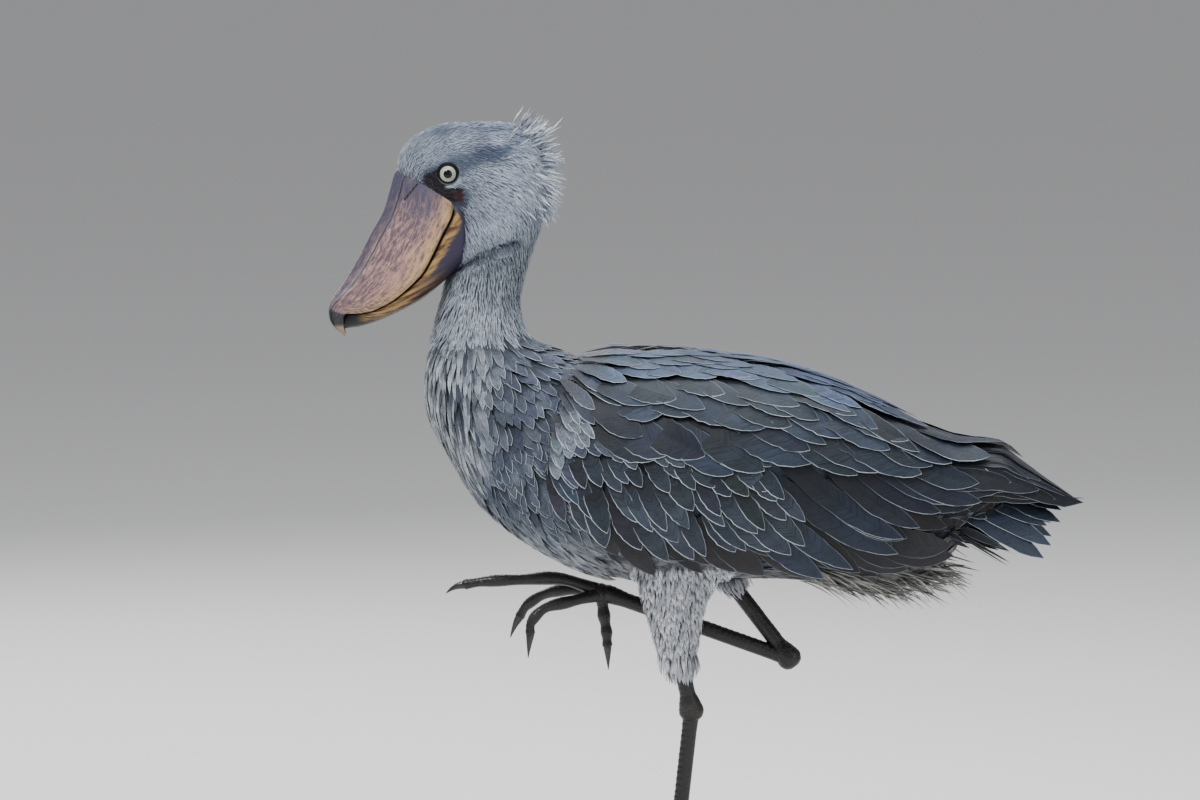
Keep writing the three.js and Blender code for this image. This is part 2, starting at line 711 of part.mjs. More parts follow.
function tarsus(leg, grow = 0) {
  return limb(leg.ankle, leg.hub, [
    [0.02, TARSUS.fore * 1.1, TARSUS.half * 1.1],
    [0.12, TARSUS.fore, TARSUS.half],
    [0.85, TARSUS.fore, TARSUS.half],
    [0.95, HUB.radius * 0.85, HUB.radius * 0.85],
    [1, HUB.radius * 0.7, HUB.radius * 0.8],
  ], grow);
}

// Toes

const TOE_SIDES = 8;
const CLAW_SIDES = 6;

// A toe through points, from the hub to where its claw begins.
function toe(points, base, tip, grow) {
  const curve = new THREE.CatmullRomCurve3(points, false, 'centripetal');
  const count = 7;
  return loft(lengthened(steps(count, (i) => {
    const t = i / (count - 1);
    const centre = curve.getPointAt(t);
    const along = curve.getTangentAt(t);
    const across = V(-along.y, along.x, 0).normalize();
    const up = new Vector3().crossVectors(along, across).normalize();
    const swell = 1 + 0.08 * Math.cos(t * Math.PI * 6);
    const end = i === 0 ? 0.6 : 1;
    const radius = THREE.MathUtils.lerp(base, tip, t) * swell * end + grow;
    return steps(TOE_SIDES, (k) => {
      const angle = (2 * Math.PI * k) / TOE_SIDES;
      return centre.clone()
        .addScaledVector(across, radius * Math.cos(angle))
        .addScaledVector(up, radius * Math.sin(angle));
    });
  }), grow));
}

function claw(root, heading, length, drop) {
  const rings = steps(4, (i) => {
    const t = i / 4;
    const centre = root.clone()
      .addScaledVector(heading, length * t)
      .add(V(0, 0, -drop * t * t));
    const along = heading.clone().multiplyScalar(length).add(V(0, 0, -2 * drop * t)).normalize();
    const across = V(-heading.y, heading.x, 0).normalize();
    const up = new Vector3().crossVectors(along, across).normalize();
    const r = CLAW.radius * (1 - 0.8 * t);
    return steps(CLAW_SIDES, (k) => {
      const angle = (2 * Math.PI * k) / CLAW_SIDES;
      return centre.clone()
        .addScaledVector(across, r * Math.cos(angle))
        .addScaledVector(up, r * Math.sin(angle));
    });
  });
  return loft(rings, undefined, root.clone().addScaledVector(heading, length).add(V(0, 0, -drop)));
}

// The four toes of each foot, from the hub to where the claw begins.
const STANDING_TOES = [
  { name: 'middle', angle: 0, length: 158, base: 9.5, tip: 6.5 },
  { name: 'inner', angle: -32, length: 118, base: 9, tip: 6 },
  { name: 'outer', angle: 32, length: 132, base: 9, tip: 6 },
  { name: 'hind', angle: 180, length: 66, base: 9, tip: 6.5 },
];
const CLAW = { length: 20, drop: 8, floorDrop: 5, floorZ: 6.5, radius: 4.8 };

function standingToe(spec) {
  const turn = radians(180 + spec.angle);
  const heading = V(Math.cos(turn), Math.sin(turn), 0);
  const at = (t) => {
    const radius = THREE.MathUtils.lerp(spec.base, spec.tip, t) - 1.2;
    return V(LEFT.hub.x, LEFT.hub.y, radius).addScaledVector(heading, spec.length * t);
  };
  return { points: [at(0), at(0.35), at(0.7), at(1)], heading };
}

const RAISED_TOES = [
  {
    name: 'middle', base: 8.5, tip: 6,
    points: [V(-84, 44, 388), V(-132, 42, 403), V(-180, 41, 402), V(-222, 40, 400), V(-250, 40, 396)],
  },
  {
    name: 'inner', base: 8, tip: 5.5,
    points: [V(-86, 40, 384), V(-120, 28, 377), V(-150, 20, 370), V(-166, 16, 354), V(-168, 14, 338)],
  },
  {
    name: 'outer', base: 8, tip: 5.5,
    points: [V(-86, 48, 386), V(-122, 62, 388), V(-152, 74, 380), V(-172, 82, 366), V(-182, 86, 350)],
  },
  {
    name: 'hind', base: 8, tip: 6,
    points: [V(-82, 44, 382), V(-79, 44, 358), V(-76, 44, 338), V(-75, 44, 320)],
  },
];

function raisedHeading(spec) {
  const [from, to] = spec.points.slice(-2);
  return to.clone().sub(from).normalize();
}

// The middle of the foot, where the toes meet.
function hubBall(leg, grow = 0) {
  return ball(leg.hub.clone().add(V(0, 0, -HUB.below)), HUB.radius + grow, 10, 6);
}

// Loose feathers of the nape, breast, vent and thigh

// A feather's path from a root, drooping under its weight, its flat side
// turned about its length by a roll.
function freePath(root, heading, length, droop, roll) {
  return (t) => {
    const point = root.clone().addScaledVector(heading, length * t).add(V(0, 0, -droop * t * t));
    const along = heading.clone().multiplyScalar(length).add(V(0, 0, -2 * droop * t)).normalize();
    const flat = new Vector3().crossVectors(V(0, 1, 0), along).normalize();
    return { point, along, out: flat.applyAxisAngle(along, roll) };
  };
}

function crest() {
  const random = seeded(23);
  return steps(CREST.count, (i) => {
    const t = i / (CREST.count - 1);
    const z = between([CREST.topZ, CREST.lowZ], t);
    const back = measure(NECK, 'z', 'back', z);
    const side = i % 2 === 0 ? 1 : -1;
    const y = side * CREST.spread * random();
    const pitch = radians(between([CREST.upward, CREST.downward], t) + 12 * (random() - 0.5));
    const yaw = radians(side * 16 * random());
    const heading = V(Math.cos(pitch) * Math.cos(yaw), Math.sin(yaw), Math.sin(pitch)).normalize();
    const inward = CREST.lie + (y * y) / 50;
    const root = V(back, y, z).addScaledVector(heading, -inward);
    const long = between([CREST.long, CREST.short], t) * (0.8 + 0.4 * random()) + inward;
    const path = freePath(root, heading, long, 5, radians(side * CREST.roll));
    return vane(path, { width: CREST.width, thick: CREST.thick, sink: 0, rise: 0 });
  });
}

function trunkPoint(x, angle) {
  const at = (key) => measure(TRUNK, 'x', key, x);
  const middleZ = (at('top') + at('bottom')) / 2;
  const high = (at('top') - at('bottom')) / 2;
  return V(
    x,
    -at('half') * power(Math.sin(angle), at('square')),
    middleZ + high * power(Math.cos(angle), at('square')),
  );
}

function bodyFeathers() {
  const left = featherRows(trunkPoint, VENT_FEATHERS, 5);
  return joined([...left, ...left.map(mirrored)]);
}

// The ragged hem of the thigh feathers, hanging over the bare shank.
function thighFringe(leg) {
  const random = seeded(11);
  const [ring, hem] = leg.thigh.slice(-2);
  const way = V(hem.x - ring.x, hem.y - ring.y, hem.z - ring.z).normalize();
  return steps(THIGH_FRINGE.count, (i) => {
    const angle = (2 * Math.PI * (i + 0.4 * random())) / THIGH_FRINGE.count;
    const side = V(Math.cos(angle), Math.sin(angle), 0);
    const root = V(ring.x, ring.y, ring.z + THIGH_FRINGE.above)
      .add(V(side.x * (ring.fore - 1), side.y * (ring.half - 1), 0));
    const long = THIGH_FRINGE.length * (0.8 + 0.4 * random());
    const path = (t) => ({
      point: root.clone().addScaledVector(way, long * t).addScaledVector(side, -6 * t * t),
      along: way,
      out: side,
    });
    return vane(path, { width: THIGH_FRINGE.width, sink: 2, rise: THIGH_FRINGE.flare });
  });
}

// The slit of each nostril, beside the ridge at the base of the bill.
function nostrils() {
  const length = NOSTRIL.from.distanceTo(NOSTRIL.to);
  return [-1, 1].map((side) => {
    const from = NOSTRIL.from.clone().setY(side * NOSTRIL.from.y);
    const to = NOSTRIL.to.clone().setY(side * NOSTRIL.to.y);
    const across = V(0, side, 0);
    const along = to.clone().sub(from).normalize();
    const wide = new Vector3().crossVectors(along, across).normalize();
    return loft(steps(5, (i) => {
      const t = i / 4;
      const half = NOSTRIL.width * (0.25 + Math.sin(Math.PI * t)) * 0.4;
      const centre = from.clone().addScaledVector(along, length * t);
      return [[-half, NOSTRIL.deep], [half, NOSTRIL.deep], [half, -NOSTRIL.deep], [-half, -NOSTRIL.deep]]
        .map(([w, d]) => centre.clone().addScaledVector(wide, w).addScaledVector(across, d));
    }));
  });
}

// The model

const group = new THREE.Group();
group.name = 'shoebill';

function add(name, solid, colour, { rough = 0.8 } = {}) {
  const mesh = solid.getMesh();
  const geometry = new THREE.BufferGeometry();
  geometry.setAttribute('position', new THREE.BufferAttribute(mesh.vertProperties, 3));
  geometry.setIndex(new THREE.BufferAttribute(mesh.triVerts, 1));
  const look = new THREE.MeshStandardMaterial({ color: colour, roughness: rough, metalness: 0 });
  const piece = new THREE.Mesh(geometry, look);
  piece.name = name;
  group.add(piece);
}

const body = trunkLoft().add(neckLoft());
const bodyGrown = trunkLoft(GAP).add(neckLoft(GAP));
const wings = [feathersOfWing(31), mirrored(feathersOfWing(61))];
const wingGrown = wingCore(GAP);
const tail = largest(joined([tailRoot(), ...tailFeathers()]).subtract(bodyGrown));

const sockets = joined([
  upperBill(GAP), lowerBill(GAP),
  ...[-1, 1].map((side) => ball(eyeCentre(side), EYE.radius + GAP)),
]);
const head = joined([above(body, HEAD_CUT, true), lids(-1), lids(1), ...crest()])
  .subtract(sockets);
const neck = above(above(body, HEAD_CUT, false), NECK_CUT, true).subtract(sockets);
const torso = above(body, NECK_CUT, false).add(bodyFeathers())
  .subtract(wingGrown).subtract(mirrored(wingGrown));

add('head', largest(head), COLOURS.head);
add('neck', largest(neck), COLOURS.neck);
add('torso', largest(torso), COLOURS.body);
add('bill_upper', largest(upperBill().subtract(joined(nostrils()))), COLOURS.bill, { rough: 0.5 });
add('bill_lower', largest(lowerBill().subtract(upperBill(GAP))), COLOURS.mandible, { rough: 0.5 });
for (const [name, side] of [['left', -1], ['right', 1]]) {
  add(`eye_${name}`, ball(eyeCentre(side), EYE.radius), COLOURS.eye, { rough: 0.1 });
}
add('wing_left', largest(wings[0]), COLOURS.wing);
add('wing_right', largest(wings[1]), COLOURS.wing);
add('tail', tail, COLOURS.tail);

for (const [name, leg] of [['left', LEFT], ['right', RIGHT]]) {
  const feathered = largest(joined([thigh(leg), ...thighFringe(leg)]).subtract(bodyGrown)
    .subtract(wingGrown).subtract(mirrored(wingGrown)).subtract(shank(leg, GAP)));
  add(`thigh_${name}`, feathered, COLOURS.thigh);
  add(`shank_${name}`, shank(leg), COLOURS.leg, { rough: 0.4 });
  add(`tarsus_${name}`, largest(tarsus(leg).subtract(shank(leg, GAP))), COLOURS.leg, { rough: 0.4 });
}

// Every toe springs from the hub and is cut clear of the toe before it; the
// floor cuts the soles of the standing foot flat.
function addFoot(name, leg, toes, clawDrop, onFloor) {
  const sole = (solid) => (onFloor ? solid.trimByPlane([0, 0, 1], 0) : solid);
  add(`foot_${name}`, largest(sole(hubBall(leg)).subtract(tarsus(leg, GAP))), COLOURS.leg, { rough: 0.4 });
  let taken = hubBall(leg, GAP).add(tarsus(leg, GAP));
  for (const spec of toes) {
    const grown = toe(spec.points, spec.base, spec.tip, GAP);
    const made = largest(sole(toe(spec.points, spec.base, spec.tip, 0)).subtract(taken));
    add(`toe_${name}_${spec.name}`, made, COLOURS.leg, { rough: 0.4 });
    const root = spec.points.at(-1).clone().addScaledVector(spec.heading, GAP);
    const nail = claw(onFloor ? root.setZ(CLAW.floorZ) : root, spec.heading, CLAW.length, clawDrop);
    add(`claw_${name}_${spec.name}`, nail, COLOURS.claw, { rough: 0.35 });
    taken = taken.add(grown);
  }
}

const standing = STANDING_TOES.map((spec) => ({ ...spec, ...standingToe(spec) }));
const raised = RAISED_TOES.map((spec) => ({ ...spec, heading: raisedHeading(spec) }));
addFoot('left', LEFT, standing, CLAW.floorDrop, true);
addFoot('right', RIGHT, raised, CLAW.drop, false);

export default group;
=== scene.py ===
"""A shoebill wading with its right foot raised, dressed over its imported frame.

Sizes and places are in millimetres, in the frame's own axes: the bill points
to -X, the left side faces -Y and the floor is at Z = 0. MM turns them into
Blender's metres where a mesh is made.
"""

import math

import bmesh
import bpy
import numpy as np
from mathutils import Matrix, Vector
from mathutils.bvhtree import BVHTree


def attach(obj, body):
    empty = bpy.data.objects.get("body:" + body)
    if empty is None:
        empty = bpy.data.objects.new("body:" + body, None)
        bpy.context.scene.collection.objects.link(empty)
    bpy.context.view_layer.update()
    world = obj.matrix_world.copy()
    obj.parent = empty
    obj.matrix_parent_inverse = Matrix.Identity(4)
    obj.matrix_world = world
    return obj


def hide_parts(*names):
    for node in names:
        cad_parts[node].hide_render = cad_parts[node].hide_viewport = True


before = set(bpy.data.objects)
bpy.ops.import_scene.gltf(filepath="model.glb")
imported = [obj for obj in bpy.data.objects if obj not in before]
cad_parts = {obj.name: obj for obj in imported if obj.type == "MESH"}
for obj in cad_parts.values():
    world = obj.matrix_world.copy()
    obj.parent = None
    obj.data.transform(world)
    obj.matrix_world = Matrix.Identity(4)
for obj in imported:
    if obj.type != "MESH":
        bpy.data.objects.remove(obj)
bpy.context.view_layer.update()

MM = 0.001


# Driving dimensions, as in the part's source

# The trunk, from the breast to the vent, as sections across X.
TRUNK_KEYS = ("x", "top", "bottom", "half", "square")
TRUNK = (
    (-295, 672, 640, 14, 2.0),
    (-290, 700, 612, 36, 2.0),
    (-276, 716, 580, 60, 2.1),
    (-256, 722, 545, 78, 2.1),
    (-228, 722, 499, 91, 2.2),
    (-192, 712, 465, 101, 2.2),
    (-156, 695, 441, 108, 2.2),
    (-96, 676, 412, 114, 2.2),
    (-36, 673, 400, 117, 2.2),
    (36, 665, 400, 117, 2.2),
    (108, 656, 402, 110, 2.2),
    (180, 636, 398, 94, 2.2),
    (240, 609, 390, 74, 2.1),
    (290, 583, 402, 52, 2.0),
    (322, 566, 424, 36, 2.0),
    (342, 536, 450, 20, 2.0),
    (350, 508, 478, 8, 2.0),
)

# The neck and head, from inside the breast to the crown, as level sections.
NECK_KEYS = ("z", "front", "back", "half", "square")
NECK = (
    (600, -268, -100, 72, 2.0),
    (650, -286, -126, 70, 2.0),
    (680, -293, -148, 64, 2.0),
    (708, -288, -169, 56, 2.0),
    (744, -279, -176, 49, 2.0),
    (768, -273, -171, 47, 2.0),
    (790, -268, -166, 51, 2.1),
    (812, -263, -160, 57, 2.2),
    (838, -266, -152, 62, 2.2),
    (862, -284, -146, 64, 2.2),
    (884, -316, -145, 63, 2.2),
    (904, -329, -147, 59, 2.2),
    (922, -325, -152, 53, 2.1),
    (940, -310, -162, 43, 2.0),
    (952, -286, -176, 31, 2.0),
    (958, -262, -194, 18, 2.0),
    (960, -244, -212, 8, 2.0),
)

# The bill: a point on its ridge, the point of its cutting edge below, its half
# width and the half width of the ridge, from the base to the tip of the nail.
UPPER_KEYS = ("x", "z", "edge_x", "edge_z", "half", "ridge")
UPPER = (
    (-306, 908, -236, 880, 38, 6),
    (-327.5, 901, -256, 869, 48.5, 6),
    (-336, 876, -261, 849, 49.5, 6),
    (-343, 853, -271, 829, 50.5, 6),
    (-354, 833, -282, 806, 51.5, 6),
    (-366, 810, -295, 782, 52.5, 6),
    (-378, 787, -313, 763, 52, 6),
    (-390, 767, -336, 745, 47, 6),
    (-401, 752, -360, 733.5, 36, 6.5),
    (-406.5, 743, -375, 730.5, 26, 7),
    (-409.5, 732, -388, 729.5, 18, 6.5),
    (-408.5, 722, -391, 722, 12, 5),
    (-402.5, 710.5, -390, 712.5, 6.5, 3),
)
NAIL_TIP = (-388.8, 0, 700.8)
GROOVE = {"at": 0.155, "width": 0.02, "deep": 1.8}
NOSTRIL = {"from": (-318, 868), "to": (-303, 887), "wide": 2.2, "deep": 3.5, "beside": 12}

# The lower mandible: the keel below each point of the mouth line.
LOWER_KEYS = ("x", "z", "keel_x", "keel_z", "half")
LOWER = (
    (-244, 876, -214, 850, 38),
    (-256, 868, -224, 832, 44.5),
    (-261, 849, -232, 815, 46),
    (-271, 829, -241, 797, 47),
    (-282, 806, -254, 784, 47),
    (-295, 782, -271, 769, 48),
    (-313, 763, -298, 746.5, 47),
    (-336, 745, -327, 730, 42),
    (-360, 733.5, -356, 717.5, 31),
    (-375, 730.5, -374, 712.5, 21),
    (-388.6, 729.4, -389.4, 711, 10),
    (-392.6, 729.0, -392.4, 712, 8),
)

# The folded wing, as the outer line of sections across X, with the angles
# from the middle of the back at which it begins and ends.
WING_KEYS = ("x", "top", "bottom", "half", "from", "to", "thick")
WING = (
    (-140, 694, 438, 114, 72, 108, 4),
    (-124, 689, 428, 117, 48, 120, 8),
    (-96, 683, 415, 120, 24, 132, 11),
    (-60, 682, 400, 122, 14, 140, 13),
    (0, 681, 394, 124, 9, 148, 14),
    (60, 674, 394, 122, 6, 150, 14),
    (120, 665, 394, 114, 4, 150, 13),
    (180, 648, 392, 100, 2, 147, 12),
    (240, 622, 394, 84, 1, 142, 10),
    (300, 593, 406, 66, 1, 132, 9),
    (345, 576, 424, 55, 1, 118, 8),
    (396, 570, 444, 46, 1, 104, 7),
    (420, 553, 462, 40, 1, 98, 6),
    (450, 531, 484, 30, 1, 92, 5),
    (474, 514, 494, 20, 1, 84, 3.5),
    (484, 506, 500, 10, 1, 70, 2),
)
WING_SQUARE = 2.2

TAIL = {
    "root_x": 262, "root_top": 590, "root_drop": 40, "root_half": 20,
    "tip_x": 470, "tip_pull": 10, "tip_top": 500, "tip_drop": 76, "tip_half": 64,
}

EYE = {"x": -265.8, "y": 47.5, "z": 901.7, "radius": 13.5, "iris": 9.7, "pupil": 5.3,
       "bulge": 1.2, "cornea": 8.5}
LID = {"rim": 10.4, "thick": 1.9}

# Legs. Each is given by its joints, from the body down.
LEFT_LEG = {
    "thigh": ((16, -56, 468, 62, 36), (11, -51, 420, 55, 36), (5, -44, 384, 41, 32),
              (7, -37, 352, 33, 27), (9, -30, 318, 26, 22), (12, -27, 306, 17, 15)),
    "knee": (11, -28, 318), "ankle": (26, -18, 250), "hub": (0, 0, 14),
}
RIGHT_LEG = {
    "thigh": ((-10, 62, 530, 44, 32), (18, 60, 480, 40, 30), (50, 57, 434, 30, 25),
              (68, 55, 405, 21, 19), (74, 54, 396, 13, 13)),
    "knee": (68, 55, 405), "ankle": (144, 48, 306), "hub": (-84, 44, 388),
}
SHANK = {"fore": 9.5, "half": 8.5}
ANKLE = {"fore": 15, "half": 11.5, "reach": 24}
TARSUS = {"fore": 9, "half": 7.5}
HUB = {"radius": 13, "below": 2.5}

# Toes by name: an angle from straight ahead and a length on the floor, or the
# points of a raised toe, with the radii at the hub and at the claw.
STANDING_TOES = {
    "middle": {"angle": 0, "length": 158, "base": 9.5, "tip": 6.5},
    "inner": {"angle": -32, "length": 118, "base": 9, "tip": 6},
    "outer": {"angle": 32, "length": 132, "base": 9, "tip": 6},
    "hind": {"angle": 180, "length": 66, "base": 9, "tip": 6.5},
}
RAISED_TOES = {
    "middle": {"base": 8.5, "tip": 6, "points": (
        (-84, 44, 388), (-132, 42, 403), (-180, 41, 402), (-222, 40, 400), (-250, 40, 396))},
    "inner": {"base": 8, "tip": 5.5, "points": (
        (-86, 40, 384), (-120, 28, 377), (-150, 20, 370), (-166, 16, 354), (-168, 14, 338))},
    "outer": {"base": 8, "tip": 5.5, "points": (
        (-86, 48, 386), (-122, 62, 388), (-152, 74, 380), (-172, 82, 366), (-182, 86, 350))},
    "hind": {"base": 8, "tip": 6, "points": (
        (-82, 44, 382), (-79, 44, 358), (-76, 44, 338), (-75, 44, 320))},
}
CLAW = {"length": 20, "drop": 8, "floor_drop": 5, "floor_z": 6.5, "radius": 4.8, "gap": 0.35}

# How deep the coat lies over the skin on each part.
DEPTH = {"trunk": 9, "neck": 6, "head": 3.2, "wing": 7, "thigh": 6}


# Colours, as a screen shows them

def colour(red, green, blue):
    """Linear values of a screen colour of 0 to 255."""
    share = np.array([red, green, blue]) / 255
    return np.where(share <= 0.04045, share / 12.92, ((share + 0.055) / 1.055) ** 2.4)


def paint(red, green, blue):
    """A screen colour for a shader's socket."""
    return (*colour(red, green, blue), 1)


HEAD_PALE = colour(178, 188, 203)
HEAD_DARK = colour(80, 91, 114)
NECK_PALE = colour(168, 177, 187)
NECK_DARK = colour(122, 131, 143)
BREAST_PALE = colour(160, 168, 176)
BREAST_DARK = colour(58, 64, 76)
MANTLE = colour(50, 58, 74)
BELLY = colour(104, 106, 110)
THIGH = colour(190, 194, 202)
SCAPULAR = colour(32, 41, 54)
# Slate with a painted sky-blue sheen, for the top of the back.
BACK_SLATE_AND_SHEEN = colour(50, 63, 84)
COVERT = colour(38, 45, 56)
LESSER = colour(56, 64, 78)
TERTIAL = colour(22, 30, 44)
SECONDARY = colour(28, 27, 33)
PRIMARY = colour(14, 18, 27)
TAIL_BLUE = colour(23, 32, 47)
CREST_PALE = colour(206, 213, 222)
VENT = colour(150, 150, 146)
WRIST = colour(98, 106, 118)
UNDER_SKIN = colour(96, 106, 120)
BARE_SKIN = colour(22, 21, 26)
BARE_PALE = colour(66, 62, 66)
GAPE_RED = colour(62, 30, 30)
PURPLE_SKIN = colour(58, 54, 76)
# Painted shade in the crease under the jaw.
JAW_CREASE_SHADOW = colour(26, 30, 40)
LID_DARK = colour(3, 3, 4)
LID_PALE = colour(128, 132, 134)

PALE_EDGE = (0.46, 0.52, 0.58, 1)
# Near black, for the painted shade at the feathers' roots.
ROOT_SHADOW = (0.008, 0.009, 0.012, 1)
DULLED = (0.44, 0.46, 0.5, 1)
BRIGHTENED = (1.6, 1.56, 1.5, 1)
HORN_PINK = paint(186, 146, 133)
HORN_CREAM = paint(192, 156, 112)
HORN_PURPLE = paint(80, 68, 80)
HORN_SLATE = paint(68, 70, 90)
HORN_DARK = paint(27, 23, 26)
NAIL_END = paint(168, 140, 120)
MANDIBLE_OCHRE = paint(164, 132, 82)
MANDIBLE_RED = paint(74, 40, 34)
MANDIBLE_BLUE = paint(50, 45, 68)
MANDIBLE_KEEL = paint(38, 25, 26)
MANDIBLE_DARK = paint(14, 16, 18)
IRIS_PALE = paint(184, 190, 170)
IRIS_GREY = paint(124, 134, 122)
PUPIL_BLACK = (0.004, 0.004, 0.005, 1)
LEG_BLACK = paint(11, 10, 12)
LEG_BROWN = paint(46, 36, 31)
CLAW_DARK = paint(14, 12, 13)
CLAW_BROWN = paint(52, 42, 36)


# Small helpers

def unit(vectors):
    """Vectors of length 1."""
    return vectors / np.maximum(np.linalg.norm(vectors, axis=-1, keepdims=True), 1e-9)


def power(value, square):
    """The rounded-square form of a sine or cosine."""
    return np.sign(value) * np.abs(value) ** (2 / square)


def smoothstep(low, high, value):
    """A soft step from 0 at low to 1 at high."""
    t = np.clip((value - low) / (high - low), 0, 1)
    return t * t * (3 - 2 * t)


def table(keys, rows):
    """A named column for each key."""
    return {key: np.array([row[i] for row in rows], float) for i, key in enumerate(keys)}


def measure(columns, along, key, at):
    """A curve through a column that never overshoots a station."""
    place, value = columns[along], columns[key]
    secant = np.diff(value) / np.diff(place)
    slope = np.concatenate([secant[:1], np.zeros(len(place) - 2), secant[-1:]])
    before, after = secant[:-1], secant[1:]
    same = before * after > 0
    slope[1:-1][same] = (2 * before * after)[same] / (before + after)[same]
    at = np.clip(at, place[0], place[-1])
    i = np.clip(np.searchsorted(place, at, "right") - 1, 0, len(place) - 2)
    width = place[i + 1] - place[i]
    t = (at - place[i]) / width
    return (
        value[i] * (1 + 2 * t) * (1 - t) ** 2 + slope[i] * width * t * (1 - t) ** 2
        + value[i + 1] * t * t * (3 - 2 * t) + slope[i + 1] * width * t * t * (t - 1)
    )


TRUNK_TABLE = table(TRUNK_KEYS, TRUNK)
NECK_TABLE = table(NECK_KEYS, NECK)
WING_TABLE = table(WING_KEYS, WING)


# Surfaces of the body

def xyz(x, y, z):
    """Points from their three measures."""
    return np.stack(np.broadcast_arrays(x, y, z), -1)


def turns(count):
    """Angles once round a ring."""
    return np.linspace(0, 2 * np.pi, count, endpoint=False)


def sections(columns, along, keys, at):
    """Several measures of a part at places along it."""
    return [measure(columns, along, key, at) for key in keys]


def oval(deep, wide, angle, square, sink):
    """A rounded section's two measures at an angle, sunk by a depth."""
    deep, wide = np.maximum(deep - sink, 0.5), np.maximum(wide - sink, 0.5)
    return deep * power(np.cos(angle), square), -wide * power(np.sin(angle), square)


def trunk_point(x, angle, sink=0):
    """A point of the trunk, its angle from the middle of the back to the left."""
    x = np.asarray(x, float)
    top, bottom, half, square = sections(TRUNK_TABLE, "x", TRUNK_KEYS[1:], x)
    up, aside = oval((top - bottom) / 2, half, angle, square, sink)
    return xyz(x, aside, (top + bottom) / 2 + up)


def neck_point(z, angle, sink=0):
    """A point of the neck or head, its angle from the nape to the left."""
    z = np.asarray(z, float)
    front, back, half, square = sections(NECK_TABLE, "z", NECK_KEYS[1:], z)
    behind, aside = oval((back - front) / 2, half, angle, square, sink)
    return xyz((front + back) / 2 + behind, aside, z)


def wing_point(x, angle, sink=0):
    """A point of the folded left wing's outer surface."""
    x = np.asarray(x, float)
    top, bottom, half = sections(WING_TABLE, "x", WING_KEYS[1:4], x)
    up, aside = oval((top - bottom) / 2, half, angle, WING_SQUARE, sink)
    return xyz(x, aside, (top + bottom) / 2 + up)


def tail_point(along, across):
    """A point of the tail's fan, from its root to its tips and side to side."""
    def ramp(part):
        return TAIL["root_" + part] + (TAIL["tip_" + part] - TAIL["root_" + part]) * along

    end = TAIL["tip_x"] - TAIL["tip_pull"] * across ** 2
    return xyz(TAIL["root_x"] + (end - TAIL["root_x"]) * along, -ramp("half") * across,
               ramp("top") - ramp("drop") * np.abs(across) ** 1.4)


# Meshes

def make_object(name, points, faces, smooth=True):
    """An object of points in millimetres and faces."""
    mesh = bpy.data.meshes.new(name)
    mesh.from_pydata(np.asarray(points, float).reshape(-1, 3) * MM, [], faces)
    if smooth:
        mesh.shade_smooth()
    made = bpy.data.objects.new(name, mesh)
    bpy.context.scene.collection.objects.link(made)
    return made


def ring_faces(rows, sides):
    """Faces between rings of points, which close round."""
    faces = []
    for i in range(rows - 1):
        for k in range(sides):
            n = (k + 1) % sides
            a, b = i * sides, (i + 1) * sides
            faces.append((a + k, b + k, b + n, a + n))
    return faces


def closed_tube(rings):
    """Points and faces of a closed tube over rings of equal length."""
    rings = np.asarray(rings, float)
    rows, sides = rings.shape[:2]
    points = np.concatenate([
        rings.reshape(-1, 3), rings[0].mean(0)[None], rings[-1].mean(0)[None],
    ])
    faces = ring_faces(rows, sides)
    first, last = rows * sides, rows * sides + 1
    for k in range(sides):
        n = (k + 1) % sides
        faces.append((first, k, n))
        faces.append((last, (rows - 1) * sides + n, (rows - 1) * sides + k))
    return points, faces


def join_parts(parts):
    """Points and faces of several meshes as one."""
    points, faces, count = [], [], 0
    for some_points, some_faces in parts:
        points.append(some_points)
        faces += [tuple(count + i for i in face) for face in some_faces]
        count += len(some_points)
    return np.concatenate(points), faces


def applied(made, *modifiers):
    """The object with modifiers, given as kind and settings, made into its mesh."""
    for kind, settings in modifiers:
        modifier = made.modifiers.new(kind.lower(), kind)
        for key, value in settings.items():
            setattr(modifier, key, value)
    shape = made.evaluated_get(bpy.context.evaluated_depsgraph_get())
    mesh = bpy.data.meshes.new_from_object(shape)
    made.modifiers.clear()
    made.data = mesh
    mesh.shade_smooth()
    return made


def mesh_points(made):
    """The vertices of an object, in millimetres."""
    flat = np.empty(len(made.data.vertices) * 3)
    made.data.vertices.foreach_get("co", flat)
    return flat.reshape(-1, 3) / MM


ATTRIBUTE_FIELDS = {"FLOAT_COLOR": "color", "FLOAT_VECTOR": "vector", "FLOAT": "value"}


def put_attribute(made, name, kind, values):
    """A value for each vertex of an object."""
    if kind == "FLOAT_COLOR":
        values = np.concatenate([values, np.ones((len(values), 1))], 1)
    layer = made.data.attributes.new(name, kind, "POINT")
    layer.data.foreach_set(ATTRIBUTE_FIELDS[kind], np.asarray(values, np.float32).ravel())


# Materials

class Wire:
    """A value between two nodes, so that sums are written as sums."""

    def __init__(self, nodes, socket):
        self.nodes = nodes
        self.socket = socket

    def __add__(self, other):
        return self.nodes.math("ADD", self, other)

    def __sub__(self, other):
        return self.nodes.math("SUBTRACT", self, other)

    def __rsub__(self, other):
        return self.nodes.math("SUBTRACT", other, self)

    def __mul__(self, other):
        return self.nodes.math("MULTIPLY", self, other)

    def step(self, low, high):
        """The value stretched from its own range to 0 to 1, softly."""
        return self.nodes.add(
            "ShaderNodeMapRange", 0, {0: self, 1: low, 2: high, 3: 0.0, 4: 1.0},
            interpolation_type="SMOOTHSTEP",
        )


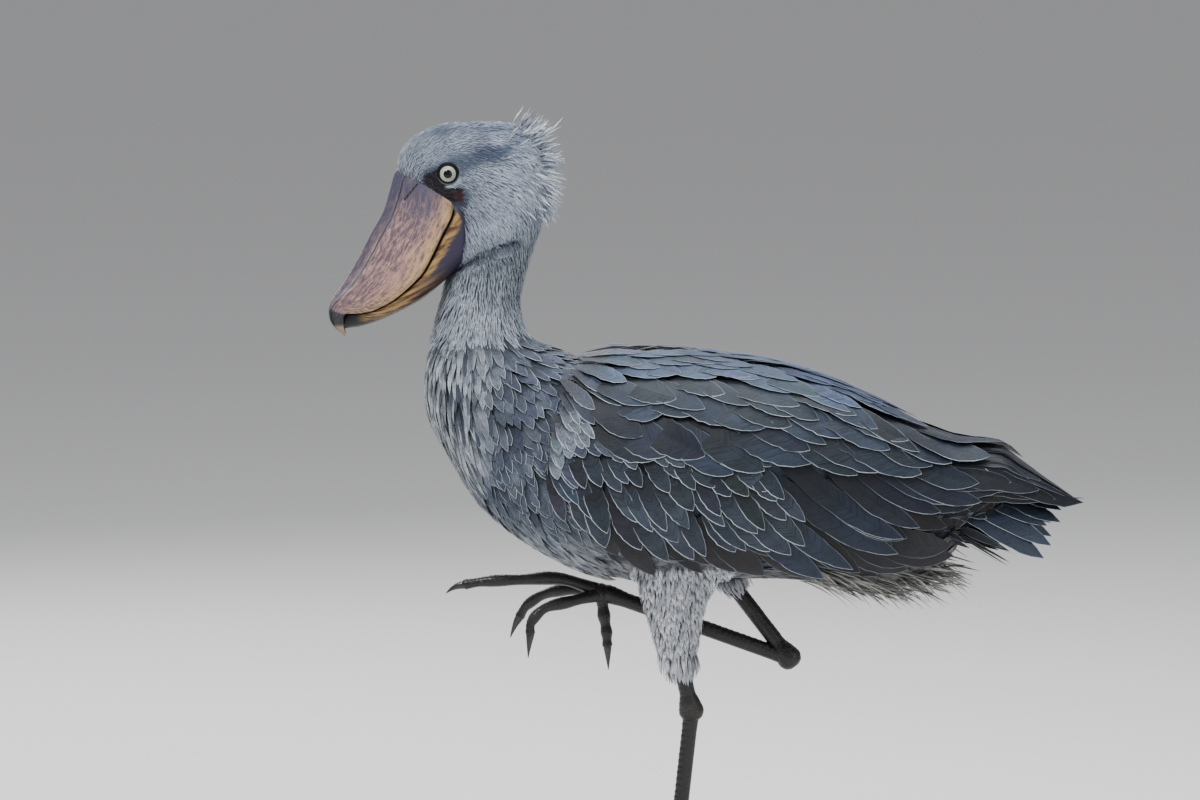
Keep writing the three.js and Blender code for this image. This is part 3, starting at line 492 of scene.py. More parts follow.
class Nodes:
    """A material's nodes, with short ways to add and link them."""

    def __init__(self, name, **settings):
        self.material = bpy.data.materials.new(name)
        self.material.use_nodes = True
        self.tree = self.material.node_tree
        self.shader = self.tree.nodes["Principled BSDF"]
        for key, value in settings.items():
            self.shader.inputs[key.replace("_", " ")].default_value = value

    def put(self, socket, value):
        """Links a socket, or sets its value."""
        if isinstance(value, Wire):
            self.tree.links.new(value.socket, socket)
        else:
            socket.default_value = value

    def add(self, kind, output, inputs, **settings):
        """A node's output, with its inputs by name and its settings."""
        node = self.tree.nodes.new(kind)
        for key, value in settings.items():
            setattr(node, key, value)
        for key, value in inputs.items():
            self.put(node.inputs[key], value)
        return Wire(self, node.outputs[output])

    def math(self, operation, *values):
        """A sum of one or two values."""
        return self.add("ShaderNodeMath", 0, dict(enumerate(values)), operation=operation)

    def mix(self, share, first, second, blend="MIX"):
        """Two colours, mixed."""
        return self.add(
            "ShaderNodeMix", 2, {0: share, 6: first, 7: second}, data_type="RGBA", blend_type=blend,
        )

    def attribute(self, name, output="Vector"):
        """An attribute of the mesh."""
        return self.add("ShaderNodeAttribute", output, {}, attribute_name=name)

    def split(self, vector):
        """The three parts of a vector."""
        node = self.tree.nodes.new("ShaderNodeSeparateXYZ")
        self.put(node.inputs[0], vector)
        return [Wire(self, socket) for socket in node.outputs]

    def join(self, x, y, z=0.0):
        """A vector of three values."""
        return self.add("ShaderNodeCombineXYZ", 0, {0: x, 1: y, 2: z})

    def place(self):
        """The place on the object, in metres."""
        return self.add("ShaderNodeTexCoord", "Object", {})

    def stretched(self, vector, scale):
        """A vector scaled by three numbers."""
        return self.add("ShaderNodeVectorMath", 0, {0: vector, 1: scale}, operation="MULTIPLY")

    def noise(self, vector, scale, detail=3.0, rough=0.55):
        """Cloudy noise of 0 to 1."""
        return self.add("ShaderNodeTexNoise", 0, {
            "Vector": vector, "Scale": scale, "Detail": detail, "Roughness": rough,
        })

    def bump(self, height, strength, distance):
        """Fine relief from a height, in metres."""
        normal = self.add("ShaderNodeBump", 0, {
            "Strength": strength, "Distance": distance, "Height": height,
        })
        self.put(self.shader.inputs["Normal"], normal)

    def base(self, value):
        """The colour of the surface."""
        self.put(self.shader.inputs["Base Color"], value)

    def rough(self, value, low, high):
        """The roughness, from one number to another."""
        spread = self.add("ShaderNodeMapRange", 0, {0: value, 3: low, 4: high})
        self.put(self.shader.inputs["Roughness"], spread)


def plumage(name, border, streak, gloss, sheen, shade):
    """Feathers: their own tint, barbs, a dark shaft and a pale border, with painted shade towards each
    feather's root, where the row above lies over it.
    """
    n = Nodes(name, Specular_IOR_Level=0.28, Sheen_Weight=sheen, Sheen_Roughness=0.4)
    shaft, rim, tip = n.split(n.attribute("lay"))
    edging, tone, reach = n.split(n.attribute("mark"))
    slant = tip - shaft * 0.85
    clumps = n.noise(n.join(slant * 0.34, tone * 57.0, shaft * 0.05), 1.0, 4.0, 0.65)
    spread = n.noise(n.place(), 38.0, 3.0)
    tint = n.attribute("tint", "Color")
    dull = n.mix(1.0, tint, DULLED, "MULTIPLY")
    bright = n.mix(1.0, tint, BRIGHTENED, "MULTIPLY")
    # Painted shade along each feather: darker towards its root and brighter towards its tip.
    along = (reach.step(0.1, 0.8) - 0.5) * (streak * 1.2)
    body = n.mix((clumps + along).step(0.5 - streak, 0.5 + streak), dull, bright)
    varied = n.mix(spread.step(0.35, 0.7), body, n.mix(0.5, body, dull))
    from_rim = n.math("MINIMUM", rim, tip * 0.8)
    inside = (from_rim + (clumps - 0.5) * border).step(border * 0.35, border * 1.25)
    worn = reach.step(0.2, 0.7) * spread.step(0.26, 0.5)
    edged = n.mix((1.0 - inside) * edging * worn, varied, PALE_EDGE)
    ridge = shaft.step(0.15, 0.75)
    shafted = n.mix((1.0 - ridge) * 0.45, edged, dull)
    # Painted shade at each feather's root, where the row above overlaps it: the colour runs to near
    # black there.
    n.base(n.mix((1.0 - reach.step(0.25, 0.75)) * shade, shafted, ROOT_SHADOW))
    n.rough(clumps, gloss - 0.1, gloss + 0.14)
    barbs = n.math("SINE", slant * 4.2)
    n.bump(barbs * 0.2 + clumps * 1.4 - ridge * 0.5, 0.55, 0.0006)
    return n.material


def skin_finish():
    """Bare skin with fine wrinkles, tinted by its place, with painted shade in the furrows between
    them.
    """
    n = Nodes("skin", Specular_IOR_Level=0.18)
    tint = n.attribute("tint", "Color")
    wrinkles = n.noise(n.stretched(n.place(), (1, 1, 2.2)), 420.0, 5.0, 0.7)
    # Painted shade: the colour darkens where the wrinkles' bump is low.
    furrow_shade = n.mix(1.0, tint, (0.55, 0.55, 0.58, 1), "MULTIPLY")
    n.base(n.mix(wrinkles.step(0.3, 0.7), furrow_shade, tint))
    n.rough(wrinkles, 0.45, 0.8)
    n.bump(wrinkles, 0.6, 0.0012)
    return n.material


def horn_upper():
    """The upper bill: pink horn blotched with purple, dark at the base and nail, with painted shade in
    its groove, its nostril slit and along the mouth line.
    """
    n = Nodes("bill_horn", Specular_IOR_Level=0.35, Coat_Weight=0.06, Coat_Roughness=0.3)
    out, down, _ = n.split(n.attribute("lay"))
    aside = n.split(n.place())[1]
    cloud = n.noise(n.join(out * 6.0, down * 6.5, aside * 22.0), 3.4, 6.0, 0.68)
    speckle = n.noise(n.join(out * 15.0, down * 30.0, aside), 2.2, 5.0, 0.7)
    fine = n.noise(n.join(out * 34.0, down * 90.0, aside), 2.4, 4.0, 0.7)
    strokes = n.noise(n.join(out * 60.0, down * 5.0), 1.3, 3.0, 0.6)
    blotch = cloud * 0.7 + speckle * 0.55 + (fine - 0.5) * 0.42
    clear = down.step(0.35, 1.0) * 0.1
    horn = n.mix(down.step(0.62, 0.98), HORN_PINK, HORN_CREAM)
    horn = n.mix((blotch - clear).step(0.47, 0.69) * 0.95, horn, HORN_PURPLE)
    horn = n.mix((1.0 - down.step(0.08, 0.22)) * 0.6, horn, HORN_SLATE)
    behind = 1.0 - (out + blotch * -0.2).step(-0.06, 0.26)
    horn = n.mix(behind * (1.0 - down.step(0.6, 0.97)) * 0.9, horn, HORN_SLATE)
    streaks = out.step(0.45, 0.72) * strokes.step(0.46, 0.6)
    horn = n.mix(streaks * down.step(0.55, 0.92) * 0.85, horn, HORN_DARK)
    nail = (out - down * 0.05 + cloud * 0.06).step(0.8, 0.85)
    clouded = n.mix(cloud.step(0.42, 0.7), HORN_DARK, HORN_SLATE)
    horn = n.mix(nail, horn, n.mix(out.step(0.955, 1.0) * 0.75, clouded, NAIL_END))
    # Painted shade: a dark line along the groove and in the nostril slit.
    groove_shade = 1.0 - n.math("ABSOLUTE", down - GROOVE["at"]).step(0.005, 0.014)
    slit = 1.0 - n.attribute("crease", "Fac").step(0.7, 1.5)
    furrow = n.math("MAXIMUM", groove_shade * (1.0 - out.step(0.8, 0.86)), slit)
    # Painted shade along the cutting edge at the mouth line.
    furrow = n.math("MAXIMUM", furrow, (down + nail * 0.1).step(0.975, 1.0))
    n.base(n.mix(furrow * 0.96, horn, HORN_DARK))
    n.rough(speckle, 0.3, 0.55)
    n.bump(speckle + fine + cloud * 0.6, 0.4, 0.0014)
    return n.material


def horn_lower():
    """The lower mandible: ochre with slanting dark grain, blue-black behind, with painted shade along
    the mouth line.
    """
    n = Nodes("mandible_horn", Specular_IOR_Level=0.3, Coat_Weight=0.05, Coat_Roughness=0.3)
    out, down, _ = n.split(n.attribute("lay"))
    grain = n.noise(n.join(out * 30.0 + down * 7.0, down * 2.0, out), 1.1, 5.0, 0.7)
    horn = n.mix(grain.step(0.42, 0.61) * 0.95, MANDIBLE_OCHRE, MANDIBLE_RED)
    rear = (down + grain * 0.2).step(0.3, 0.5) * (1.0 - out.step(0.36, 0.6))
    horn = n.mix(rear, horn, MANDIBLE_BLUE)
    keel = (down + (grain - 0.5) * 0.5).step(0.42, 0.78)
    horn = n.mix(keel * out.step(0.3, 0.5) * 0.85, horn, MANDIBLE_KEEL)
    horn = n.mix(out.step(0.7, 0.84), horn, MANDIBLE_DARK)
    # Painted shade: the upper edge darkens along the mouth line.
    n.base(n.mix(1.0 - down.step(0.02, 0.12), horn, MANDIBLE_DARK))
    n.rough(grain, 0.28, 0.55)
    n.bump(grain, 0.4, 0.0012)
    return n.material


def eye_finish():
    """The eye: a black pupil in a pale iris, wet and clear."""
    n = Nodes("eye", Roughness=0.06, Specular_IOR_Level=0.25, Coat_Weight=0.05, Coat_Roughness=0.02)
    off, turn, _ = n.split(n.attribute("lay"))
    rays = n.noise(n.join(turn * 9.0, off * 0.12), 2.0, 4.0, 0.7)
    iris = n.mix(rays.step(0.35, 0.65), IRIS_PALE, IRIS_GREY)
    iris = n.mix(off.step(EYE["pupil"] - 0.25, EYE["pupil"] + 0.25), PUPIL_BLACK, iris)
    n.base(n.mix(off.step(EYE["iris"] - 0.6, EYE["iris"] + 0.2), iris, PUPIL_BLACK))
    return n.material


def leg_finish():
    """Scaled leg skin, nearly black and wet."""
    n = Nodes("leg_skin", Specular_IOR_Level=0.4, Coat_Weight=0.18, Coat_Roughness=0.2)
    place = n.place()
    scales = n.add("ShaderNodeTexVoronoi", "Distance", {"Vector": place, "Scale": 260.0},
                   feature="DISTANCE_TO_EDGE")
    cloud = n.noise(place, 46.0, 4.0)
    plate = scales.step(0.02, 0.2)
    n.base(n.mix(plate * cloud.step(0.45, 0.75), LEG_BLACK, LEG_BROWN))
    n.rough(cloud, 0.28, 0.55)
    n.bump(plate, 0.5, 0.0006)
    return n.material


def claw_finish():
    """Dark horn with fine lines along the claw."""
    n = Nodes("claw_horn", Specular_IOR_Level=0.55, Coat_Weight=0.3, Coat_Roughness=0.2)
    lines = n.noise(n.stretched(n.place(), (1, 6, 6)), 120.0, 4.0)
    n.base(n.mix(lines.step(0.45, 0.75), CLAW_DARK, CLAW_BROWN))
    n.rough(lines, 0.25, 0.45)
    n.bump(lines, 0.3, 0.0005)
    return n.material


SKIN = skin_finish()
# The last number sets how strong the painted shade at each feather's root is.
FINE = plumage("plumage_fine", 0.5, 0.22, 0.72, 0.2, 0.25)
SOFT = plumage("plumage_soft", 0.7, 0.2, 0.66, 0.1, 0.5)
VANED = plumage("plumage_vaned", 0.95, 0.15, 0.48, 0.03, 0.6)
UPPER_HORN = horn_upper()
LOWER_HORN = horn_lower()
EYE_GLOSS = eye_finish()
LEG_SKIN = leg_finish()
CLAW_HORN = claw_finish()


# What is settled for every piece

def dress(piece, finish, slot, *nodes):
    """Gives a piece its finish, its body and the nodes it stands for."""
    piece.data.materials.clear()
    piece.data.materials.append(finish)
    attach(piece, "root")
    if nodes:
        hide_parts(*nodes)


# Places on the unwrapped skin, one island for each part of the body

ISLANDS = {
    "trunk": (0.01, 0.49, 0.01, 0.49),
    "neck": (0.51, 0.99, 0.01, 0.49),
    "wing_left": (0.01, 0.49, 0.51, 0.74),
    "wing_right": (0.51, 0.99, 0.51, 0.74),
    "tail": (0.01, 0.32, 0.76, 0.99),
    "thigh_left": (0.34, 0.65, 0.76, 0.99),
    "thigh_right": (0.67, 0.99, 0.76, 0.99),
}
PATCH = 0.003


def island(name, u, v):
    """Shares of an island as places on the map."""
    left, right, low, high = ISLANDS[name]
    return np.stack(np.broadcast_arrays(
        left + (right - left) * np.clip(u, 0, 1), low + (high - low) * np.clip(v, 0, 1),
    ), -1)


def unwrap_body(points):
    """The map place of points on the trunk, neck or head."""
    x, y, z = points.T
    top, bottom = sections(TRUNK_TABLE, "x", ("top", "bottom"), x)
    front, back = sections(NECK_TABLE, "z", ("front", "back"), z)
    round_trunk = np.arctan2(y, z - (top + bottom) / 2) / (2 * np.pi) + 0.5
    round_neck = np.arctan2(y, x - (front + back) / 2) / (2 * np.pi) + 0.5
    on_trunk = island("trunk", (x - TRUNK[0][0]) / (TRUNK[-1][0] - TRUNK[0][0]), round_trunk)
    on_neck = island("neck", (z - 660) / 310, round_neck)
    return np.where(in_neck(points)[:, None], on_neck, on_trunk)


# The skin

# Slanting cuts seen from the side, and the X at which the breast ends.
HEAD_CUT = ((-268, 779), (-156, 832))
NECK_CUT = ((-292, 686), (-160, 708))
SHOULDER_X = -120


def over(cut, points):
    """How far points lie above a slanting cut."""
    (x0, z0), (x1, z1) = cut
    return points[:, 2] - (z0 + (z1 - z0) * (points[:, 0] - x0) / (x1 - x0))


def in_neck(points):
    """Whether points belong to the neck or head."""
    return (over(NECK_CUT, points) > 0) & (points[:, 0] < SHOULDER_X)


# Folds of skin under the jaw, seen from the side, with their depth.
FOLDS = (
    (((-267.6, 778), (-252, 788), (-240, 797), (-228, 804), (-210, 813), (-184, 820)), 6.5, 4.5),
    (((-232, 789), (-214, 797), (-192, 800)), 3.0, 4.0),
)


def from_line(points, line):
    """The distance of points from a line of points, seen from the side."""
    flat = points[:, [0, 2]]
    nearest = np.full(len(points), 1e9)
    for start, end in zip(line[:-1], line[1:]):
        start, end = np.array(start, float), np.array(end, float)
        run = end - start
        t = np.clip((flat - start) @ run / (run @ run), 0, 1)
        nearest = np.minimum(nearest, np.linalg.norm(flat - start - t[:, None] * run, axis=1))
    return nearest


def near(points, line, width):
    """1 on a line seen from the side, fading away from it over a width."""
    return np.exp(-(from_line(points, line) / width) ** 2)


def neck_depth(z):
    """The coat's depth up the neck and over the head."""
    return DEPTH["neck"] + (DEPTH["head"] - DEPTH["neck"]) * smoothstep(760, 850, z)


# How finely the skin is made: its voxels, and the reach of finer faces round an eye.
SKIN_MESH = {"voxel": 3.6, "fine_reach": 30, "round": 48, "along": 70, "up": 80}


def skin_parts():
    """Closed tubes under the coat: trunk, neck, thighs and wings' arms."""
    angles = turns(SKIN_MESH["round"])
    depth, sink = DEPTH["trunk"], DEPTH["thigh"]
    xs = np.linspace(TRUNK[0][0] + depth, TRUNK[-1][0] - depth, SKIN_MESH["along"])
    zs = np.linspace(NECK[0][0], NECK[-1][0] - DEPTH["head"], SKIN_MESH["up"])
    parts = [
        closed_tube([trunk_point(x, angles, depth) for x in xs]),
        closed_tube([neck_point(z, -angles, neck_depth(z)) for z in zs]),
    ]
    for leg in (LEFT_LEG, RIGHT_LEG):
        rings = [xyz(x + (fore - sink) * np.cos(angles), y - (half - sink) * np.sin(angles), z)
                 for x, y, z, fore, half in leg["thigh"]]
        parts.append(closed_tube(rings[::-1]))
    return parts + [wing_arm(side) for side in (1, -1)]


WING_ARM = {"start": 10, "end": 400, "thick": 9, "rings": 50}


def wing_arm(side):
    """The arm of a wing under its feathers, as a closed tube along X."""
    rings = []
    for x in np.linspace(WING[0][0] + WING_ARM["start"], WING_ARM["end"], WING_ARM["rings"]):
        start, end = np.radians(sections(WING_TABLE, "x", ("from", "to"), x))
        angles = np.linspace(start + 0.06, end - 0.12, 16)
        outer = wing_point(x, angles, DEPTH["wing"])
        inner = wing_point(x, angles[::-1], DEPTH["wing"] + WING_ARM["thick"])
        ring = np.concatenate([outer, inner]) * (1, side, 1)
        rings.append(ring if side > 0 else ring[::-1])
    return closed_tube(rings[::-1])


BROW = {"x": -268, "y": 45, "z": 913, "long": 22, "wide": 10, "high": 7}


def brow(side):
    """The bony ridge over an eye."""
    angles = turns(20)
    rings = []
    for t in np.linspace(-0.98, 0.98, 16):
        r = math.sqrt(1 - t * t)
        rings.append(xyz(
            BROW["x"] + BROW["long"] * t,
            side * BROW["y"] + BROW["wide"] * r * np.cos(angles),
            BROW["z"] + 0.1 * BROW["long"] * t + BROW["high"] * r * np.sin(angles),
        ))
    return closed_tube(rings)


def refine(made, reach):
    """Finer faces within a reach of the eyes."""
    mesh = bmesh.new()
    mesh.from_mesh(made.data)
    edges = [edge for edge in mesh.edges if all(
        abs(v.co.y) > 0.02 and math.hypot(v.co.x / MM - EYE["x"], v.co.z / MM - EYE["z"]) < reach
        for v in edge.verts)]
    bmesh.ops.subdivide_edges(mesh, edges=edges, cuts=3, use_grid_fill=True, smooth=0.6)
    mesh.to_mesh(made.data)
    mesh.free()
    made.data.shade_smooth()


WRINKLE = {"high": 0.45, "pitch": 4.4}


def wrinkle(points):
    """Folds round the eye, as heights of -1 to 1."""
    uneven = 2.2 * cloudy(points, 10, 4) + 0.8 * cloudy(points, 4, 14)
    return np.sin(2 * np.pi * from_eye(points) / WRINKLE["pitch"] + uneven)


def make_skin():
    """One smooth skin, creased under the jaw."""
    skin = make_object("skin", *join_parts(skin_parts() + [brow(-1), brow(1)]))
    applied(
        skin, ("REMESH", {"mode": "VOXEL", "voxel_size": SKIN_MESH["voxel"] * MM}),
        ("SMOOTH", {"factor": 0.5, "iterations": 6}),
    )
    refine(skin, SKIN_MESH["fine_reach"])
    points = mesh_points(skin)
    normals = np.empty(len(points) * 3)
    skin.data.vertices.foreach_get("normal", normals)
    normals = normals.reshape(-1, 3)
    points = points + normals * (WRINKLE["high"] * wrinkle(points) * bareness(points))[:, None]
    for line, depth, width in FOLDS:
        press = depth * near(points, line, width)
        points = points - normals * (press * smoothstep(12, 30, np.abs(points[:, 1])))[:, None]
    skin.data.vertices.foreach_set("co", (points * MM).ravel())
    skin.data.update()
    put_attribute(skin, "tint", "FLOAT_COLOR", skin_tint(points))
    return skin


# Bare places on the face: the lores in front of the eye and the gape behind it.
LORES = (
    (-294, 899), (-277, 908), (-263, 886), (-250, 884), (-244.5, 877), (-249, 866),
    (-262, 869), (-280, 877), (-295, 888),
)
GAPE = ((-255, 877), (-249, 875), (-250, 868))
# Bare skin round an eye fades out between these distances from its middle.
EYE_RING = (12.0, 14.2)
UNDER_LID = {"off": 15.6, "width": 1.5, "from": (-110, -85), "to": (-30, -5)}
FACE_SIDE = 25
BILL_REAR = ((-300, 890), (-262, 873), (-248, 866), (-244, 850), (-240, 828), (-248, 800), (-266, 778))


def outside(points, outline):
    """How far points lie outside an outline seen from the side, negative inside."""
    x, z = points[:, 0], points[:, 2]
    inside = np.zeros(len(points), bool)
    for (x0, z0), (x1, z1) in zip(outline, outline[1:] + outline[:1]):
        crossed = (z0 > z) != (z1 > z)
        inside ^= crossed & (x < x0 + (x1 - x0) * (z - z0) / ((z1 - z0) or 1))
    away = from_line(points, outline + outline[:1])
    return np.where(inside, -away, away)


def under_lid(points):
    """1 on the pale rim of feathers below and behind an eye."""
    turn = np.degrees(np.arctan2(points[:, 2] - EYE["z"], points[:, 0] - EYE["x"]))
    ring = np.exp(-((from_eye(points) - UNDER_LID["off"]) / UNDER_LID["width"]) ** 2)
    begun = smoothstep(*UNDER_LID["from"], turn)
    return ring * begun * (1 - smoothstep(*UNDER_LID["to"], turn))


def from_eye(points):
    """The distance of points from the nearer eye's middle, seen from the side."""
    return np.hypot(points[:, 0] - EYE["x"], points[:, 2] - EYE["z"])


def bareness(points):
    """1 on bare skin of the face, 0 under feathers."""
    beside = np.abs(points[:, 1]) > FACE_SIDE
    ring = 1 - smoothstep(*EYE_RING, from_eye(points))
    lores = 1 - smoothstep(-0.6, 1.4, outside(points, LORES) + 0.9 * cloudy(points, 5, 6))
    return np.maximum(ring, lores) * beside


def skin_tint(points):
    """Dull blue under the coat and black on the bare face, where painted light and shade follow the
    wrinkles round the eye.
    """
    # Paler on the wrinkles' crests and darker in their troughs, a painted light and shade, over the
    # skin's own paler mottling.
    lines = 0.12 + 0.34 * wrinkle(points) * (0.5 + cloudy(points, 13, 9)) + 0.2 * cloudy(points, 7, 8)
    shaded_wrinkles = blend(BARE_SKIN, BARE_PALE, lines)
    bare = blend(shaded_wrinkles, GAPE_RED, (1 - smoothstep(2.5, 6, from_line(points, GAPE))) * 0.8)
    rim = 1 - smoothstep(5, 10, from_line(points, BILL_REAR))
    rim = rim * (np.abs(points[:, 1]) > 20) * (1 - bareness(points))
    tint = blend(blend(UNDER_SKIN, PURPLE_SKIN, rim), bare, bareness(points))
    return blend(tint, HEAD_PALE, under_lid(points) * (1 - (from_eye(points) < 13)))


# How feathers lie: places seen from the side, each with its direction.
LIE = (
    (-327, 912, 0.35, 0.94), (-316, 935, 0.6, 0.8), (-290, 950, 0.9, 0.42),
    (-250, 958, 1.0, 0.0), (-205, 954, 0.97, -0.2), (-168, 936, 0.8, -0.45),
    (-150, 905, 0.62, -0.78), (-148, 870, 0.45, -0.9), (-156, 830, 0.12, -1.0),
    (-300, 925, 0.75, 0.5), (-262, 925, 0.98, 0.1), (-215, 925, 0.98, -0.2),
    (-240, 895, 0.92, -0.4), (-205, 890, 0.9, -0.45), (-175, 890, 0.8, -0.6),
    (-240, 865, 0.75, -0.66), (-205, 855, 0.68, -0.73), (-245, 835, 0.6, -0.8),
    (-215, 820, 0.4, -0.9), (-180, 830, 0.3, -0.95), (-250, 805, 0.3, -0.95),
    (-258, 780, 0.0, -1.0), (-220, 770, -0.05, -1.0), (-178, 770, -0.06, -1.0),
    (-275, 740, -0.12, -1.0), (-222, 730, 0.0, -1.0), (-182, 735, 0.05, -1.0),
    (-290, 690, -0.04, -1.0), (-230, 690, 0.12, -1.0), (-178, 705, 0.4, -0.9),
    (-150, 695, 0.8, -0.6), (-105, 678, 0.97, -0.22), (-190, 660, 0.5, -0.86),
    (-292, 640, 0.12, -1.0), (-275, 570, 0.32, -0.95), (-240, 510, 0.52, -0.85),
    (-190, 460, 0.78, -0.62), (-235, 610, 0.34, -0.94), (-200, 560, 0.45, -0.9),
    (-170, 510, 0.6, -0.8), (-160, 610, 0.6, -0.8), (-130, 560, 0.7, -0.72),
    (-110, 430, 0.93, -0.36), (0, 400, 1.0, -0.1), (120, 400, 1.0, 0.0),
    (240, 396, 1.0, 0.06), (310, 415, 0.93, 0.36), (345, 480, 0.9, 0.3),
    (0, 675, 1.0, -0.04), (150, 650, 0.98, -0.18), (250, 605, 0.93, -0.36),
    (330, 565, 0.93, -0.36),
)


def lie(points):
    """The direction in which feathers point at each place."""
    places = np.array([row[:2] for row in LIE], float)
    ways = np.array([row[2:] for row in LIE], float)
    far = ((points[:, None, [0, 2]] - places[None]) ** 2).sum(-1)
    weight = 1 / (far + 40) ** 2
    flat = (weight[..., None] * ways[None]).sum(1) / weight.sum(1)[:, None]
    return unit(np.stack([flat[:, 0], np.zeros(len(points)), flat[:, 1]], -1))


# Feathers

class Vanes:
    """Many feathers of one kind, gathered and made into one mesh."""

    def __init__(self, name):
        self.name = name
        self.points, self.faces, self.tints, self.lays, self.marks, self.maps = [], [], [], [], [], []
        self.count = 0

    def add(self, trail, length, width, tint, place, *, outline, across=5, rise=2.0, sink=1.0,
            arch=0.01, roll=0.0, edging=0.0, ragged=0.06, seed=1, climb=0.8, inner=0):
        """Feathers along centre lines of points, directions and outward normals."""
        centres, alongs, outs = trail
        count, stations = centres.shape[:2]
        random = np.random.default_rng(seed)
        t = np.linspace(0, 1, stations)
        share = np.interp(t, *zip(*outline))
        half = np.reshape(width, (-1, 1)) / 2 * share
        s = np.linspace(-1, 1, across)
        jag = 1 + ragged * random.standard_normal((count, stations, across)) * (np.abs(s) > 0.9)
        side = half[:, :, None] * s * jag
        lift = np.reshape(rise, (-1, 1)) * np.minimum(1, t / climb) ** 0.8 \
            - np.reshape(sink, (-1, 1)) * (1 - t)
        height = lift[:, :, None] - arch * side ** 2 + np.reshape(roll, (-1, 1, 1)) * side
        aside = unit(np.cross(outs, alongs))
        points = (centres[:, :, None] + aside[:, :, None] * side[..., None]
                  + outs[:, :, None] * height[..., None])
        self.points.append(points.reshape(-1, 3))
        index = np.arange(stations * across).reshape(stations, across)
        quads = np.stack([index[:-1, :-1], index[1:, :-1], index[1:, 1:], index[:-1, 1:]], -1)
        starts = self.count + np.arange(count) * stations * across
        self.faces.append((starts[:, None, None] + quads.reshape(1, -1, 4)).reshape(-1, 4))
        self.count += count * stations * across
        shape = side.shape
        length = np.broadcast_to(np.reshape(length, (-1, 1, 1)), shape)
        tips = (1 - t)[None, :, None] * length
        rims = np.broadcast_to(half[:, :, None] * (1 - np.abs(s)), shape)
        self.lays.append(np.stack([np.abs(side), rims, tips], -1).reshape(-1, 3))
        tone = random.random((count, 1, 1))
        edge = np.reshape(edging, (-1, 1, 1)) * (1 - 0.75 * np.clip(s * inner, 0, 1))
        self.marks.append(np.stack([
            np.broadcast_to(edge, shape), np.broadcast_to(tone, shape),
            np.broadcast_to(t[None, :, None], shape),
        ], -1).reshape(-1, 3))
        self.tints.append(np.repeat(tint, stations * across, 0))
        patch = np.stack(np.broadcast_arrays(s[None] / 2, t[:, None] - 0.5), -1) * PATCH
        self.maps.append((place[:, None, None] + patch[None]).reshape(-1, 2))

    def make(self, finish, slot, *nodes):
        """The feathers as one piece."""
        made = make_object(self.name, np.concatenate(self.points), np.concatenate(self.faces))
        put_attribute(made, "tint", "FLOAT_COLOR", np.concatenate(self.tints))
        put_attribute(made, "lay", "FLOAT_VECTOR", np.concatenate(self.lays))
        put_attribute(made, "mark", "FLOAT_VECTOR", np.concatenate(self.marks))
        loops = np.empty(len(made.data.loops), int)
        made.data.loops.foreach_get("vertex_index", loops)
        layer = made.data.uv_layers.new(name="OFBake")
        layer.uv.foreach_set("vector", np.concatenate(self.maps)[loops].astype(np.float32).ravel())
        dress(made, finish, slot, *nodes)
        return made


# Outlines of feathers: pairs of the share of the length and of the half width.
WISP = ((0, 0.5), (0.4, 1), (1, 0.08))
LANCE = ((0, 0.35), (0.35, 0.95), (0.6, 1), (0.85, 0.6), (1, 0.04))
BLADE = ((0, 0.4), (0.3, 0.88), (0.58, 1), (0.76, 0.86), (0.89, 0.54), (0.96, 0.27), (1, 0.03))
RECTRIX = ((0, 0.45), (0.3, 0.8), (0.7, 1), (0.86, 0.84), (0.95, 0.48), (1, 0.06))
POINTED = ((0, 0.4), (0.3, 0.9), (0.55, 1), (0.8, 0.74), (0.93, 0.36), (1, 0.03))


# Large primes that turn the three counts of a cell into one number.
PRIMES = (73856093, 19349663, 83492791)


def thinned(points, radius, seed):
    """Which points to keep so that they stand about a radius apart."""
    random = np.random.default_rng(seed)
    kept = random.permutation(len(points))
    for _ in range(5):
        shift = random.random(3) * radius
        cells = np.floor((points[kept] + shift) / radius).astype(np.int64)
        keys = cells @ np.array(PRIMES)
        _, first = np.unique(keys, return_index=True)
        kept = kept[np.sort(first)]
    return kept


def strewn(skin, where, radius, seed):
    """Even places on the part of a skin where the test holds."""
    mesh = skin.data
    mesh.calc_loop_triangles()
    corners = np.empty(len(mesh.loop_triangles) * 3, int)
    mesh.loop_triangles.foreach_get("vertices", corners)
    triangles = mesh_points(skin)[corners].reshape(-1, 3, 3)
    sides = triangles[:, 1:] - triangles[:, :1]
    area = np.linalg.norm(np.cross(sides[:, 0], sides[:, 1]), axis=1) / 2
    area = area * (where(triangles.mean(1)) > 0.5)
    random = np.random.default_rng(seed)
    count = int(area.sum() / radius ** 2 * 5)
    chosen = random.choice(len(area), count, p=area / area.sum())
    a, b = random.random((2, count, 1))
    flip = a + b > 1
    a, b = np.where(flip, 1 - a, a), np.where(flip, 1 - b, b)
    points = triangles[chosen, 0] + a * sides[chosen, 0] + b * sides[chosen, 1]
    return points[thinned(points, radius, seed)]


def trail_on(tree, roots, ways, lengths, strides):
    """Centre lines of feathers that follow the skin."""
    shape = (len(roots), strides + 1, 3)
    centres, alongs, outs = np.empty(shape), np.empty(shape), np.empty(shape)
    for i, (root, way, length) in enumerate(zip(roots, ways, lengths)):
        point, heading = Vector(root), Vector(way)
        for k in range(strides + 1):
            found, normal, _, _ = tree.find_nearest(point)
            heading = (heading - normal * heading.dot(normal)).normalized()
            centres[i, k], alongs[i, k], outs[i, k] = found, heading, normal
            point = found + heading * (length / strides)
    return centres, alongs, outs


def jittered(ways, spread, seed):
    """Directions turned a little at random."""
    random = np.random.default_rng(seed)
    return unit(ways + spread * random.standard_normal(ways.shape))


def skin_tree(skin):
    """The skin for finding near places, in millimetres."""
    faces = [tuple(face.vertices) for face in skin.data.polygons]
    return BVHTree.FromPolygons([tuple(p) for p in mesh_points(skin)], faces)


